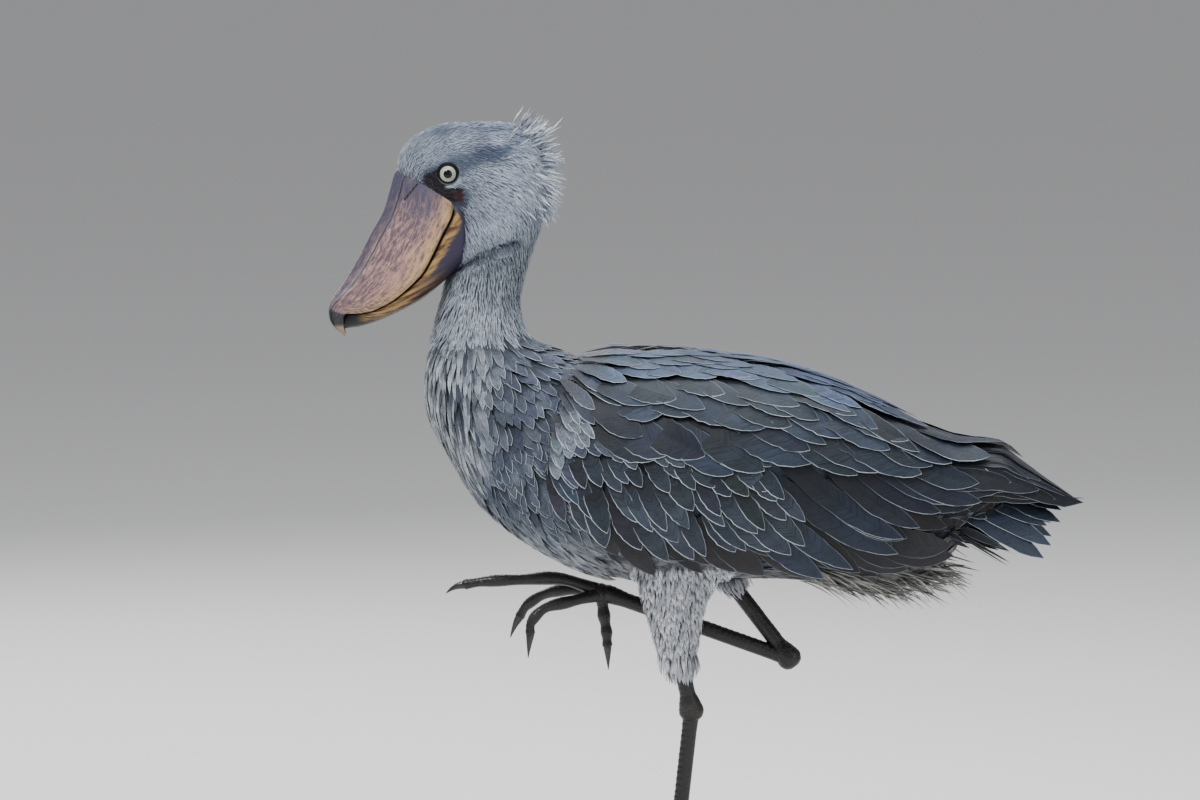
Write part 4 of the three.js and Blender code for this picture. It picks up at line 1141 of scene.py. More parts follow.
# The part of the trunk that a folded wing hides: from behind its front edge to an X,
# and between its upper and lower edges, pulled in by degrees.
HIDDEN = {"front": 10, "end": 255, "above": 12, "below": 20}


def under_wing(points):
    """Whether points lie under a folded wing."""
    x, y, z = points.T
    top, bottom, half, start, end = sections(WING_TABLE, "x", WING_KEYS[1:6], x)
    rise = (z - (top + bottom) / 2) / ((top - bottom) / 2)
    angle = np.degrees(np.arctan2(np.abs(y) / half, rise))
    along = (x > WING[0][0] + HIDDEN["front"]) & (x < HIDDEN["end"])
    return along & (angle > start + HIDDEN["above"]) & (angle < end - HIDDEN["below"])


def beside_wing(points):
    """1 on the trunk just below the wing's edge, 0 away from it."""
    x, z = points[:, 0], points[:, 2]
    top, bottom = sections(WING_TABLE, "x", ("top", "bottom"), x)
    height = (z - bottom) / (top - bottom)
    above = smoothstep(-0.02, 0.03, height)
    return smoothstep(-110, -90, x) * (1 - smoothstep(0.55, 0.7, height)) * above


BILL_BASE = (
    (-332, 899), (-300, 888), (-262, 871), (-248, 858), (-246, 830), (-252, 800), (-266, 778),
)


def covered_by_bill(points):
    """Whether points lie behind the base of the bill."""
    xs = np.interp(-points[:, 2], [-z for _, z in BILL_BASE], [x for x, _ in BILL_BASE])
    return (points[:, 0] < xs + 1.0) & (points[:, 2] < 905) & (points[:, 2] > 776)


# Coat of the head and neck

# The slate band behind the eye, the crown and the shade beside the bill.
BAND = ((-260, 912), (-243, 918), (-224, 925), (-204, 929))
CROWN = ((-300, 944), (-262, 953), (-220, 951), (-190, 944))
BESIDE_BILL = ((-250, 862), (-247, 830), (-254, 798))

# How far apart the feathers of each part are rooted.
APART = {"head": 1.55, "neck": 2.3, "breast": 4.5, "belly": 9.5, "thigh": 2.9}

# Sizes of the feathers at one end of a part, and what they gain towards the other.
HEAD_FEATHERS = {"length": 5.5, "longer": 6.5, "width": 0.8, "wider": 0.55}
NECK_FEATHERS = {"length": 10, "longer": 9, "width": 1.5, "wider": 1.2}
TRUNK_FEATHERS = {"length": 40, "breast_longer": 46, "high_shorter": 40, "side_length": 44,
                  "width": 15, "breast_narrower": 10.2, "side_width": 15}
THIGH_FEATHERS = {"length": 20, "longer": 8, "width": (2.2, 4.6), "hem": 24}


def cloudy(points, size, seed):
    """Soft random values from -1 to 1 over space."""
    random = np.random.default_rng(seed)
    total = np.zeros(len(points))
    for _ in range(6):
        wave = unit(random.standard_normal(3)) * 2 * np.pi / (size * (0.7 + 0.6 * random.random()))
        total += np.sin(points @ wave + 6.28 * random.random())
    return total / 2.5


def blend(first, second, share):
    """Colours mixed by a share for each point."""
    share = np.clip(share, 0, 1)[:, None]
    return first * (1 - share) + second * share


def fold_shade(points, spread):
    """How much painted shade the folds under the jaw lay on the coat."""
    return sum(near(points, line, width * spread) for line, _, width in FOLDS)


def jaw_shade(points):
    """1 in the painted shade of the crease under the jaw, fading towards the nape."""
    crease = near(points, FOLDS[0][0], 4.2)
    return crease * (0.92 - 0.6 * smoothstep(-250, -195, points[:, 0]))


def head_tint(points):
    """Pale blue-grey, slate behind the eye and on the crown, with painted shade in the folds under the
    jaw.
    """
    random = np.random.default_rng(3)
    shade = np.maximum.reduce([
        1.25 * near(points, BAND, 11),
        0.65 * near(points, CROWN, 13),
        # Painted shade in the folds under the jaw.
        1.1 * fold_shade(points, 0.9),
        0.7 * (1 - smoothstep(14, 21, from_eye(points))),
        0.35 * (1 - smoothstep(0, 14, from_line(points, BESIDE_BILL))),
        1.1 * (1 - smoothstep(1, 6, outside(points, LORES))),
    ])
    shade = shade + 0.16 * cloudy(points, 34, 5) + 0.14 * random.standard_normal(len(points))
    # Painted shade in the crease under the jaw.
    tint = blend(blend(HEAD_PALE, HEAD_DARK, shade), JAW_CREASE_SHADOW, jaw_shade(points))
    return blend(tint, CREST_PALE, under_lid(points))


def coat_head(skin, tree):
    """Short, fine feathers over the head."""
    def where(points):
        feathered = (bareness(points) < 0.55) & ~covered_by_bill(points)
        return (over(HEAD_CUT, points) > -4) & (points[:, 0] < SHOULDER_X) & feathered

    roots = strewn(skin, where, APART["head"], 11)
    count = len(roots)
    random = np.random.default_rng(12)
    face = smoothstep(20, 70, from_eye(roots))
    kind = HEAD_FEATHERS
    length = (kind["length"] + kind["longer"] * face) * (0.8 + 0.4 * random.random(count))
    width = kind["width"] + kind["wider"] * face
    trail = trail_on(tree, roots, jittered(lie(roots), 0.13, 13), length, 2)
    coat = Vanes("coat_head")
    coat.add(trail, length, width, head_tint(roots), unwrap_body(roots), outline=WISP,
             across=3, rise=1.6 + 1.5 * face * random.random(count), sink=0.3, arch=0.12, seed=14,
             roll=0.25 * random.standard_normal(count))
    coat.make(FINE, "plumage_grey")


def coat_neck(skin, tree):
    """Longer, narrow feathers down the neck."""
    def where(points):
        return in_neck(points) & (over(HEAD_CUT, points) < 6)

    roots = strewn(skin, where, APART["neck"], 21)
    count = len(roots)
    random = np.random.default_rng(22)
    down = smoothstep(830, 690, roots[:, 2])
    kind = NECK_FEATHERS
    length = (kind["length"] + kind["longer"] * down) * (0.8 + 0.4 * random.random(count))
    width = kind["width"] + kind["wider"] * down
    shade = 0.3 + 0.22 * cloudy(roots, 26, 23) + 0.2 * random.standard_normal(count)
    # Painted shade in the folds and the crease under the jaw.
    tint = blend(NECK_PALE, NECK_DARK, shade + fold_shade(roots, 1))
    tint = blend(tint, JAW_CREASE_SHADOW, jaw_shade(roots))
    trail = trail_on(tree, roots, jittered(lie(roots), 0.1, 24), length, 4)
    coat = Vanes("coat_neck")
    coat.add(trail, length, width, tint, unwrap_body(roots), outline=WISP, across=3,
             rise=2.4 + 1.6 * random.random(count), sink=0.5, arch=0.08, seed=25,
             roll=0.22 * random.standard_normal(count))
    coat.make(FINE, "plumage_grey")


# Coat of the trunk

def breast_share(points):
    """1 on the breast, where the feathers are long and narrow, 0 behind it."""
    return smoothstep(-150, -215, points[:, 0] - 0.25 * (640 - points[:, 2]))


def side_share(points):
    """1 on the dark shoulders and mantle, with pale edged feathers, 0 elsewhere."""
    x, z = points[:, 0], points[:, 2]
    behind = smoothstep(-252, -198, x + 0.2 * (700 - z) * (z < 700))
    return behind * smoothstep(452, 520, z)


def trunk_tint(points, seed):
    """Pale breast with dark streaks, dark shoulders, grey belly, and painted shade on the rear of the
    trunk below and behind the wing.
    """
    random = np.random.default_rng(seed)
    streak = 0.32 + 0.42 * random.standard_normal(len(points)) + 0.3 * cloudy(points, 60, seed)
    breast = blend(BREAST_PALE, BREAST_DARK, streak)
    belly = blend(BELLY, BREAST_DARK, 0.3 + 0.3 * random.standard_normal(len(points)))
    tint = breast + (belly - breast) * (1 - breast_share(points))[:, None]
    dark = side_share(points) * (0.82 + 0.18 * random.random(len(points)))
    # Painted shade: the rear of the trunk, above its belly line, darkens to the secondaries' colour
    # under the wing.
    rear = smoothstep(40, 150, points[:, 0]) * smoothstep(384, 402, points[:, 2])
    return blend(tint + (MANTLE - tint) * dark[:, None], SECONDARY, rear)


def trunk_size(points, seed):
    """Length and width of the feathers at places on the trunk."""
    random = np.random.default_rng(seed)
    breast, beside = breast_share(points), side_share(points)
    high = smoothstep(600, 690, points[:, 2])
    kind = TRUNK_FEATHERS
    length = kind["length"] + kind["breast_longer"] * breast - kind["high_shorter"] * breast * high
    length = length + (kind["side_length"] - length) * beside
    width = kind["width"] - kind["breast_narrower"] * breast
    width = width + (kind["side_width"] - width) * beside
    uneven = 0.85 + 0.3 * random.random((2, len(points)))
    return length * uneven[0], width * uneven[1]


def coat_trunk(skin, tree):
    """The breast, mantle, flanks and belly, in two pieces."""
    def uncovered(points):
        x, y, z = points.T
        on_trunk = (over(NECK_CUT, points) < 10) | ((x > -150) & (z < 760))
        on_thigh = (z < 400) & (np.abs(x - 10) < 60) & (y < 0)
        return on_trunk & ~under_wing(points) & ~on_thigh & (z > 385)

    def front(points):
        return uncovered(points) & (points[:, 0] < SHOULDER_X)

    def rear(points):
        return uncovered(points) & (points[:, 0] >= SHOULDER_X)

    for part, where, thinning, seed in (("breast", front, 0.62, 31), ("belly", rear, 0, 41)):
        roots = strewn(skin, where, APART[part], seed)
        random = np.random.default_rng(seed + 1)
        roots = roots[random.random(len(roots)) > thinning * side_share(roots)]
        count = len(roots)
        length, width = trunk_size(roots, seed + 2)
        lowered = 1 - 0.75 * beside_wing(roots)
        trail = trail_on(tree, roots, jittered(lie(roots), 0.09, seed + 3), length, 6)
        coat = Vanes(f"coat_{part}")
        coat.add(trail, length, width, trunk_tint(roots, seed + 4), unwrap_body(roots),
                 outline=POINTED, across=3, rise=(5.5 + 3 * random.random(count)) * lowered,
                 sink=0.5, arch=0.03, ragged=0.1, seed=seed + 5,
                 edging=(0.15 + 1.05 * side_share(roots)) * random.random(count),
                 roll=0.14 * random.standard_normal(count))
        coat.make(SOFT, "plumage_grey")


# Loose long feathers

def free_trail(roots, ways, lengths, droops, flat, strides):
    """Centre lines of feathers that stand free and droop."""
    t = np.linspace(0, 1, strides + 1)[None, :, None]
    length = np.reshape(lengths, (-1, 1, 1))
    droop = np.reshape(droops, (-1, 1, 1)) * np.array([0, 0, 1.0])
    centres = roots[:, None] + ways[:, None] * length * t - droop * t ** 2
    alongs = unit(ways[:, None] * length - 2 * droop * t)
    outs = unit(np.cross(np.broadcast_to(flat[:, None], alongs.shape), alongs))
    return centres, alongs, outs


def add_loose(coat, roots, ways, length, droop, flat, strides, width, tint, **shape):
    """Adds feathers that stand free and droop to a coat."""
    trail = free_trail(roots, ways, length, droop, flat, strides)
    coat.add(trail, length, width, tint, unwrap_body(roots), rise=0.0, sink=0.0, **shape)


CREST = {"count": 520, "low": 852, "high": 952, "up": 58, "down": -62, "width": (0.8, 2.1),
         "droop": (1, 6), "spread": 20, "round": 55, "length": 24, "shorter": 7, "least": 4}
CREST_TALL = {"count": 30, "x": -168, "z": 944, "up": (38, 82), "length": (20, 42)}


def coat_crest():
    """The ragged nape: short wisps down it and taller ones at the top."""
    random = np.random.default_rng(51)
    count, tall = CREST["count"], CREST_TALL["count"]
    normal = random.standard_normal
    t = random.random(count)
    angle = np.arcsin(np.clip(CREST["spread"] * normal(count) / CREST["round"], -0.9, 0.9))
    roots = neck_point(CREST["high"] + (CREST["low"] - CREST["high"]) * t, angle, 6)
    pitch = np.radians(CREST["up"] + (CREST["down"] - CREST["up"]) * t + 11 * normal(count))
    ways = xyz(np.cos(pitch), -0.5 * np.sin(angle) + 0.12 * normal(count), np.sin(pitch))
    length = (CREST["length"] - CREST["shorter"] * t) * (0.6 + 0.7 * random.random(count))
    length = length + CREST["least"]
    rise = np.radians(random.uniform(*CREST_TALL["up"], tall))
    tall_roots = xyz(CREST_TALL["x"] + 9 * normal(tall), 9 * normal(tall),
                     CREST_TALL["z"] - 4 - 6 * random.random(tall))
    tall_ways = xyz(np.cos(rise), 0.15 * normal(tall), np.sin(rise))
    roots = np.concatenate([roots, tall_roots])
    ways = unit(np.concatenate([ways, tall_ways]))
    length = np.concatenate([length, random.uniform(*CREST_TALL["length"], tall)])
    total = count + tall
    flat = unit(xyz(0.3 * normal(total), 0.5 * normal(total), 1.0))
    width = random.uniform(*CREST["width"], total)
    droop = random.uniform(*CREST["droop"], total)
    tint = blend(CREST_PALE, HEAD_DARK, 0.2 + 0.3 * normal(total))
    coat = Vanes("coat_crest")
    add_loose(coat, roots, ways, length, droop, flat, 7, width, tint, outline=LANCE, across=3,
              arch=0.06, ragged=0.2, seed=52)
    coat.make(FINE, "plumage_grey")


THIGH_TOP = 436


def coat_thigh(skin, tree, leg, side):
    """Soft pale feathers down a thigh, loose at its hem."""
    rows = np.array(leg["thigh"], float)
    low, high = rows[-1, 2], rows[0, 2]

    def where(points):
        x, y, z = points.T
        axis_x, axis_y, reach = (np.interp(-z, -rows[:, 2], rows[:, i]) for i in (0, 1, 3))
        beside = np.hypot(x - axis_x, y - axis_y) < reach + 4
        return (z < min(high, THIGH_TOP)) & (z > low + 3) & beside

    roots = strewn(skin, where, APART["thigh"], 61 + side)
    count = len(roots)
    random = np.random.default_rng(63 + side)
    axis = unit(rows[-1, :3] - rows[-3, :3])
    ways = jittered(np.tile(axis, (count, 1)), 0.12, 64)
    kind = THIGH_FEATHERS
    length = kind["length"] + kind["longer"] * random.random(count)
    width = random.uniform(*kind["width"], count)
    around = np.arctan2(roots[:, 1] - rows[2, 1], roots[:, 0] - rows[2, 0]) / (2 * np.pi) + 0.5
    name = "left" if side < 0 else "right"
    place = island(f"thigh_{name}", around, (roots[:, 2] - low) / (high - low))
    tint = blend(THIGH, BREAST_DARK, 0.22 + 0.2 * random.standard_normal(count))
    trail = trail_on(tree, roots, ways, length * 0.75, 4)
    hem = roots[:, 2] < low + kind["hem"]
    share = np.linspace(0, 1, 5)[None, :, None]
    trail[0][hem] = roots[hem, None] + axis * share * length[hem, None, None]
    coat = Vanes(f"coat_thigh_{name}")
    coat.add(trail, length, width, tint, place, outline=LANCE, across=3,
             rise=3 + 3 * random.random(count), sink=0.4, arch=0.05, ragged=0.18, seed=65)
    coat.make(SOFT, "plumage_thigh", f"thigh_{name}")


# Wings

def walk(surface, u, v, heading, bend, length, strides):
    """Centre lines of feathers laid along a surface of two measures."""
    centres, alongs, outs = [], [], []
    for k in range(strides + 1):
        by_u = surface(u + 0.5, v) - surface(u - 0.5, v)
        by_v = (surface(u, v + 0.01) - surface(u, v - 0.01)) / 0.02
        turn = heading + bend * k / strides
        centres.append(surface(u, v))
        alongs.append(unit(by_u) * np.cos(turn)[:, None] + unit(by_v) * np.sin(turn)[:, None])
        outs.append(unit(np.cross(by_v, by_u)))
        stride = length / strides
        u = u + np.cos(turn) * stride / np.linalg.norm(by_u, axis=1)
        v = v + np.sin(turn) * stride / np.linalg.norm(by_v, axis=1)
    return np.stack(centres, 1), np.stack(alongs, 1), np.stack(outs, 1)


# Rows of feathers on the folded wing, from the lowest layer to the highest.
# Each runs between two roots, given as X and an angle from the back's middle;
# headings are degrees below straight back, on the wing's surface.
ROW_KEYS = ("count", "start", "end", "heading", "length", "width", "rise", "bend", "tint", "edging")
WING_ROWS = (
    (16, (-98, 101), (240, 104), (62, 24), (92, 132), 32, 0.0, -8, SECONDARY, 0.35),
    (7, (300, 78), (312, 14), (6, 0), (174, 180), 26, 0.2, 0, PRIMARY, 0.3),
    (9, (130, 96), (292, 52), (36, 8), (124, 144), 34, 1.6, -8, PRIMARY, 0.4),
    (10, (66, 94), (240, 46), (46, 14), (168, 152), 34, 3.2, -10, TERTIAL, 0.75),
    (12, (-112, 93), (98, 92), (74, 54), (86, 96), 27, 3.8, -8, COVERT, 1.7),
    (13, (-118, 86), (104, 84), (71, 50), (70, 80), 24, 4.5, -6, COVERT, 1.8),
    (14, (-122, 78), (100, 76), (66, 46), (54, 62), 21, 5.2, -6, COVERT, 1.6),
    (14, (-124, 70), (84, 68), (60, 42), (42, 48), 19, 5.8, 0, LESSER, 1.3),
    (13, (-146, 98), (-120, 34), (62, 34), (46, 60), 18, 5.0, 0, MANTLE, 1.1),
    (10, (-142, 86), (-124, 58), (68, 52), (26, 34), 12, 6.0, 0, WRIST, 2.2),
    (8, (-130, 80), (-108, 62), (72, 52), (24, 32), 12, 6.8, 0, WRIST, 2.2),
    (6, (150, 50), (262, 12), (18, 4), (138, 150), 40, 5.6, -4, TERTIAL, 0.75),
    (10, (-110, 60), (160, 48), (40, 22), (100, 146), 43, 6.4, -12, SCAPULAR, 1.1),
    (10, (-112, 48), (166, 36), (34, 18), (86, 138), 39, 7.0, -10, SCAPULAR, 1.0),
    (11, (-106, 37), (160, 25), (28, 13), (80, 132), 35, 7.6, -6, SCAPULAR, 0.9),
    # The top rows of the back carry a painted sky-blue sheen in their tint.
    (12, (-112, 28), (172, 16), (20, 8), (74, 130), 30, 8.0, -4, BACK_SLATE_AND_SHEEN, 0.75),
    (13, (-108, 18), (180, 9), (13, 5), (70, 124), 26, 8.2, -2, BACK_SLATE_AND_SHEEN, 0.7),
    (13, (-104, 9), (176, 2), (7, 2), (68, 120), 25, 8.4, 0, BACK_SLATE_AND_SHEEN, 0.65),
)
LARGE_STRIDES = 16
DARKEST = 0.004


def wing_row(coat, row, side, seed):
    """One row of feathers on a wing."""
    row = dict(zip(ROW_KEYS, row))
    count = row["count"]
    random = np.random.default_rng(seed)
    wobble = random.uniform(-1, 1, (5, count))

    def ramp(first, last):
        return first + (last - first) * np.linspace(0, 1, count)

    (start_x, start_angle), (end_x, end_angle) = row["start"], row["end"]
    x = ramp(start_x, end_x) + 6 * wobble[0]
    angle = np.radians(ramp(start_angle, end_angle) + 3 * wobble[1])
    heading = np.radians(ramp(*row["heading"]) + 8 * wobble[2])
    length = ramp(*row["length"]) * (1 + 0.18 * wobble[3])
    width = row["width"] * (1 + 0.18 * wobble[4])
    bend = np.full(count, math.radians(row["bend"]))
    trail = walk(wing_point, x, angle, heading, bend, length, LARGE_STRIDES)
    trail = tuple(part * np.array([1, side, 1]) for part in trail)
    name = "wing_left" if side > 0 else "wing_right"
    place = island(name, (x - WING[0][0]) / (WING[-1][0] - WING[0][0]), angle / 2.7)
    vary = 0.6 if row["tint"] is WRIST else 1.0
    tint = row["tint"] * (1 + 0.24 * vary * random.standard_normal((count, 1))
                          + 0.06 * vary * random.standard_normal((count, 3)))
    coat.add(trail, length, width, np.clip(tint, DARKEST, 1), place, outline=BLADE, across=7,
             rise=row["rise"] + 0.4 * random.random(count), sink=1.5, arch=0.0022,
             roll=-0.075 * side, inner=side, ragged=0.035, seed=seed + 1, climb=0.5,
             edging=row["edging"] * (0.6 + 0.4 * random.random(count)))


def coat_wing(side):
    """All feathers of one wing."""
    name = "left" if side > 0 else "right"
    coat = Vanes(f"feathers_wing_{name}")
    for i, row in enumerate(WING_ROWS):
        wing_row(coat, row, side, 71 + 10 * i + (0 if side > 0 else 5))
    coat.make(VANED, "plumage_wing", f"wing_{name}")


# Tail

TAIL_ROWS = (
    (12, 1.0, 29, 0.0, TAIL_BLUE, 0.6),
    (9, 0.66, 26, 2.4, TAIL_BLUE, 0.5),
    (7, 0.44, 22, 3.4, TERTIAL, 0.5),
)


def coat_tail():
    """Twelve long tail feathers and the coverts over their bases."""
    coat = Vanes("feathers_tail")
    for i, (count, reach, width, rise, tint, edging) in enumerate(TAIL_ROWS):
        random = np.random.default_rng(301 + i)
        reaches = reach * (1 - 0.13 * random.random((count, 1)))
        across = (2 * np.arange(count) + 1) / count - 1 + 0.05 * random.uniform(-1, 1, count)
        t = np.linspace(0, 1, LARGE_STRIDES + 1)[None] * reaches
        side = np.repeat(across[:, None], t.shape[1], 1)
        alongs = unit(tail_point(t + 0.01, side) - tail_point(t - 0.01, side))
        sideways = tail_point(t, side + 0.01) - tail_point(t, side - 0.01)
        outs = unit(np.cross(sideways, alongs))
        trail = tail_point(t, side), alongs, outs * np.sign(outs[..., 2:])
        length = np.full(count, (TAIL["tip_x"] - TAIL["root_x"]) * reach)
        tints = np.clip(tint * (1 + 0.12 * random.standard_normal((count, 1))), DARKEST, 1)
        level = rise + 3.0 * (1 - np.abs(across))
        place = island("tail", across / 2 + 0.5, reach * 0.5)
        coat.add(trail, length, width, tints, place, outline=RECTRIX, across=7, rise=level,
                 sink=-level * 0.5, arch=0.004, roll=0.07 * -np.sign(across), edging=edging,
                 ragged=0.05, seed=311 + i, climb=0.6)
    coat.make(VANED, "plumage_wing", "tail")


UNDERTAIL = {"count": 300, "x": (190, 340), "angle": (98, 262), "length": (34, 66), "width": (8, 15)}
TUFTS = {"count": 420, "x": (150, 318), "angle": (138, 222), "length": (30, 66), "width": (1.6, 4.4),
         "droop": (2, 20)}
UNDER_COVERTS = {"count": 40, "x": (285, 336), "z": 508, "round": (24, 34), "length": (70, 112),
                 "width": (13, 21), "fall": -21, "droop": (-2, 4)}


def under_coverts(coat):
    """Long dark feathers from the vent to below the tail."""
    kind = UNDER_COVERTS
    random = np.random.default_rng(411)
    count = kind["count"]
    turn = np.radians(random.uniform(-115, 115, count))
    wide, high = kind["round"]
    roots = xyz(random.uniform(*kind["x"], count), wide * np.sin(turn), kind["z"] - high * np.cos(turn))
    fall = np.radians(kind["fall"] + 4 * random.standard_normal(count))
    ways = unit(xyz(np.cos(fall), 0.1 * np.sin(turn), np.sin(fall)))
    length = random.uniform(*kind["length"], count)
    tint = blend(SECONDARY, TERTIAL, random.random(count))
    droop = random.uniform(*kind["droop"], count)
    width = random.uniform(*kind["width"], count)
    add_loose(coat, roots, ways, length, droop, xyz(0.0, -np.cos(turn), -np.sin(turn)), 10, width,
              tint, outline=BLADE, across=5, arch=0.006, edging=0.5, ragged=0.05, seed=412)


def coat_undertail():
    """Dark feathers round the vent, with loose grey tufts over them."""
    random = np.random.default_rng(401)
    normal = random.standard_normal
    coat = Vanes("coat_undertail")
    count = UNDERTAIL["count"]
    x = random.uniform(*UNDERTAIL["x"], count)
    angle = np.radians(random.uniform(*UNDERTAIL["angle"], count))
    heading = np.radians(random.uniform(-12, 12, count))
    length = random.uniform(*UNDERTAIL["length"], count)
    trail = walk(lambda u, v: trunk_point(u, v, 6), x, angle, heading, np.zeros(count), length, 8)
    tint = blend(SECONDARY, VENT, 0.15 + 0.25 * random.random(count))
    coat.add(trail, length, random.uniform(*UNDERTAIL["width"], count), tint,
             unwrap_body(trail[0][:, 0]), outline=LANCE, across=5, rise=random.uniform(3, 8, count),
             sink=0.0, arch=0.01, ragged=0.1, seed=402)
    count = TUFTS["count"]
    angle = np.radians(random.uniform(*TUFTS["angle"], count))
    roots = trunk_point(random.uniform(*TUFTS["x"], count), angle, 6)
    length = random.uniform(*TUFTS["length"], count)
    ways = unit(xyz(1.0, 0.2 * normal(count), -0.16 + 0.12 * normal(count)))
    flat = unit(xyz(0.0, -np.cos(angle), -np.sin(angle)) + 0.3 * normal((count, 3)))
    droop = random.uniform(*TUFTS["droop"], count)
    tint = blend(SECONDARY, VENT, 1.0 - 0.3 * random.random(count))
    width = random.uniform(*TUFTS["width"], count)
    add_loose(coat, roots, ways, length, droop, flat, 8, width, tint, outline=LANCE, across=3,
              arch=0.02, ragged=0.2, seed=403)
    under_coverts(coat)
    coat.make(FINE, "plumage_grey")


# Bill

def bill_grid(keys, rows, outline_of, rings):
    """Rings of a half of the bill, each a closed outline round it."""
    columns = table(("i",) + keys, [(i,) + row for i, row in enumerate(rows)])
    grid = []
    for at in np.linspace(0, len(rows) - 1, rings):
        place = {key: float(measure(columns, "i", key, at)) for key in keys}
        grid.append(outline_of(place))
    return grid


def between(a, b, c, d, t):
    """A place between b and c on the smooth line through four points."""
    return 0.5 * (2 * b + (c - a) * t + (2 * a - 5 * b + 4 * c - d) * t ** 2
                  + (3 * b - a - 3 * c + d) * t ** 3)


def rounded(points, count):
    """A smooth closed outline of a number of points through a few given ones."""
    points = np.asarray(points, float)
    size = len(points)
    out = []
    for at in np.arange(count) * size / count:
        i = int(at)
        out.append(between(*(points[(i + k) % size] for k in (-1, 0, 1, 2)), at - i))
    return np.array(out)


BILL_SIDES = 144
UPPER_RINGS = 220
LOWER_RINGS = 110

# Half of a section of the bill, as shares of its half width and of its depth.
UPPER_HALF = ((0.6, 0.2), (0.84, 0.42), (0.96, 0.64), (0.99, 0.84), (0.95, 0.985), (0.5, 0.97))
LOWER_HALF = ((0.97, 0.4), (0.78, 0.8), (0.4, 0.99))


def both_sides(first, half, last):
    """A smooth outline of one half and its mirror image, with its two ends on the middle."""
    mirrored = [(-y, q) for y, q in half[::-1]]
    return rounded([(0, first)] + half + [(0, last)] + mirrored, BILL_SIDES)


def slope(place, foot_x, foot_z):
    """The top of a section of the bill, the way down it and its depth."""
    top = np.array([place["x"], place["z"]])
    down = np.array([place[foot_x], place[foot_z]]) - top
    deep = np.linalg.norm(down)
    return top, down / deep, deep


def upper_outline(place):
    """The outline of the upper bill at one station, and how far down each point is."""
    w, r = place["half"], place["ridge"]
    top, down, deep = slope(place, "edge_x", "edge_z")
    half = [(r * 0.75, 0.4), (r * 1.3, deep * 0.07)]
    half += [(w * out, deep * far) for out, far in UPPER_HALF]
    line = both_sides(0, half, deep * 0.97)
    share = np.clip(line[:, 1] / deep, 0, 1)
    furrow = np.exp(-((share - GROOVE["at"]) / GROOVE["width"]) ** 2)
    pinch = 1 - GROOVE["deep"] / max(w, 8) * furrow
    flat = top + down * line[:, 1:]
    return xyz(flat[:, 0], line[:, 0] * pinch, flat[:, 1]), share


def lower_outline(place):
    """The outline of the lower mandible at one station."""
    w = place["half"]
    top, down, deep = slope(place, "keel_x", "keel_z")
    half = [(w * 0.55, 0.8), (w * 0.97, 0.8)] + [(w * out, deep * far) for out, far in LOWER_HALF]
    line = both_sides(0.8, half, deep)
    flat = top + down * line[:, 1:]
    return xyz(flat[:, 0], line[:, 0], flat[:, 1]), np.clip(line[:, 1] / deep, 0, 1)


def make_bill(name, grid, tip, finish, slot, node):
    """A half of the bill as a closed, smooth shell."""
    rings = np.array([ring for ring, _ in grid])
    shares = np.array([share for _, share in grid])
    if tip is not None:
        end = rings[-1] + (np.array(tip) - rings[-1].mean(0)) * 0.55
        end = end.mean(0) + (end - end.mean(0)) * 0.5
        rings = np.concatenate([rings, end[None]])
        shares = np.concatenate([shares, shares[-1:]])
    points, faces = closed_tube(rings)
    if tip is not None:
        points[-1] = tip
    out = np.repeat(np.linspace(0, 1, len(rings)), rings.shape[1])
    lay = np.concatenate([xyz(out, shares.ravel(), 0.0), [[0, 0.5, 0], [1, 0.5, 0]]])
    slit = from_line(points, (NOSTRIL["from"], NOSTRIL["to"]))
    slit = np.where(np.abs(points[:, 1]) > NOSTRIL["beside"], slit, 99)
    if node == "bill_upper":
        press = NOSTRIL["deep"] * np.exp(-(slit / NOSTRIL["wide"]) ** 2)
        points[:, 1] -= np.sign(points[:, 1]) * press
    made = make_object(name, points, faces)
    put_attribute(made, "lay", "FLOAT_VECTOR", lay)
    put_attribute(made, "crease", "FLOAT", slit)
    dress(made, finish, slot, node)


def make_bills():
    """The two halves of the bill."""
    upper = bill_grid(UPPER_KEYS, UPPER, upper_outline, UPPER_RINGS)
    make_bill("bill_upper_horn", upper, NAIL_TIP, UPPER_HORN, "bill_horn", "bill_upper")
    lower = bill_grid(LOWER_KEYS, LOWER, lower_outline, LOWER_RINGS)
    make_bill("bill_lower_horn", lower, None, LOWER_HORN, "mandible_horn", "bill_lower")


# Eyes

def make_eye(name, side):
    """An eyeball with a bulging cornea, its axis out to the side."""
    rows, sides = 40, 48
    turn = turns(sides)
    rings, lays = [], []
    for i in range(rows):
        bow = math.pi * (i + 0.02) / (rows - 1 + 0.04)
        off, out = EYE["radius"] * math.sin(bow), EYE["radius"] * math.cos(bow)
        dome = max(0.0, 1 - (off / EYE["cornea"]) ** 2)
        bulge = EYE["bulge"] * dome if out > 0 else 0
        rings.append(xyz(EYE["x"] + off * np.cos(turn), side * (EYE["y"] + out + bulge),
                         EYE["z"] + off * np.sin(turn) * side))
        lays.append(xyz(off if out > 0 else EYE["radius"], np.cos(turn), np.sin(turn)))
    made = make_object(f"eyeball_{name}", *closed_tube(rings))
    ends = [[0, 0, 0], [EYE["radius"], 0, 0]]
    put_attribute(made, "lay", "FLOAT_VECTOR", np.concatenate(lays + [ends]))
    dress(made, EYE_GLOSS, "eye", f"eye_{name}")


